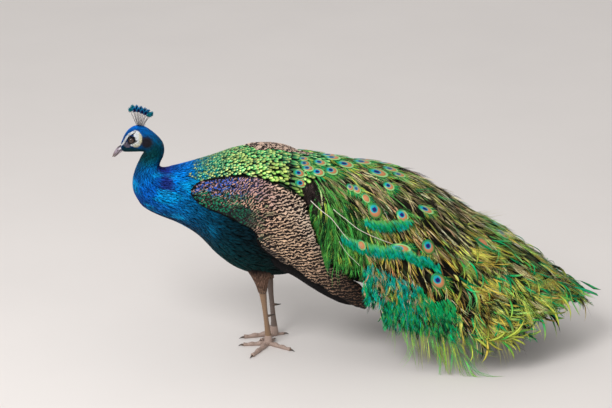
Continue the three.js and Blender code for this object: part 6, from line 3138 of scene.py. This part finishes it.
@dataclass
class Stage:
    """Floor, light and camera."""

    target: tuple = (85.5, 0.0, 335.8)
    distance: float = 4.9
    elevation: float = 21.0
    lens: float = 128.1
    world_strength: float = 0.72
    lamp_power: float = 66.0
    lamp_size: float = 1.6
    lamp_place: tuple = (-1.3, -1.9, 2.6)
    lamp_target: tuple = (-0.05, 0, 0.3)
    floor_reach: float = 9.0

    @staticmethod
    def aim(holder: bpy.types.Object, place: Vector, target: Vector) -> None:
        """Puts a lamp or camera at a place and turns it to a target."""
        holder.location = place
        holder.rotation_euler = (target - holder.location).to_track_quat("-Z", "Y").to_euler()

    def floor(self) -> None:
        """A wide pale ground at the soles."""
        mesh = bpy.data.meshes.new("floor")
        reach = self.floor_reach
        corners = [(-reach, -reach, 0), (reach, -reach, 0), (reach, reach, 0), (-reach, reach, 0)]
        mesh.from_pydata(corners, [], [(0, 1, 2, 3)])
        floor = bpy.data.objects.new("floor", mesh)
        bpy.context.scene.collection.objects.link(floor)
        mesh.materials.append(StageFinish().material())

    def light(self) -> None:
        """An even pale sky and one large soft lamp, high in front and to the left."""
        world = bpy.data.worlds.new("sky")
        bpy.context.scene.world = world
        world.use_nodes = True
        background = world.node_tree.nodes["Background"]
        background.inputs["Color"].default_value = (1, 1, 1, 1)
        background.inputs["Strength"].default_value = self.world_strength
        lamp = bpy.data.lights.new("soft_lamp", "AREA")
        lamp.shape = "DISK"
        lamp.size = self.lamp_size
        lamp.energy = self.lamp_power
        holder = bpy.data.objects.new("soft_lamp", lamp)
        bpy.context.scene.collection.objects.link(holder)
        self.aim(holder, Vector(self.lamp_place), Vector(self.lamp_target))

    def camera(self) -> None:
        """A long lens from the bird's left, a little above."""
        data = bpy.data.cameras.new("camera")
        data.lens = self.lens
        data.sensor_width = 36.0
        data.clip_end = 100.0
        camera = bpy.data.objects.new("camera", data)
        bpy.context.scene.collection.objects.link(camera)
        target = Vector((self.target[0] + ROW_SHIFT, self.target[1], self.target[2])) * MILLIMETRE
        tilt = np.radians(self.elevation)
        away = Vector((0, -self.distance * np.cos(tilt), self.distance * np.sin(tilt)))
        self.aim(camera, target + away, target)
        bpy.context.scene.camera = camera

    def build(self) -> None:
        """All of it, with the plain view transform."""
        self.floor()
        self.light()
        self.camera()
        bpy.context.scene.view_settings.view_transform = "Standard"


def main() -> None:
    """Builds every piece in order."""
    logging.basicConfig(level=logging.INFO, format="%(name)s %(message)s")
    assemblies = (
        Stage(), Skin(), Eyes(), Bill(), Crest(), Claws(), BodyCoat(), Mantle(), Thighs(), WingCoat(),
        FlightFeathers(), TailFan(), TrainCoat(), Ocelli(), Fishtails(),
    )
    for assembly in assemblies:
        assembly.build()
        LOG.info("%s built", type(assembly).__name__)


if __name__ == "__main__":
    main()
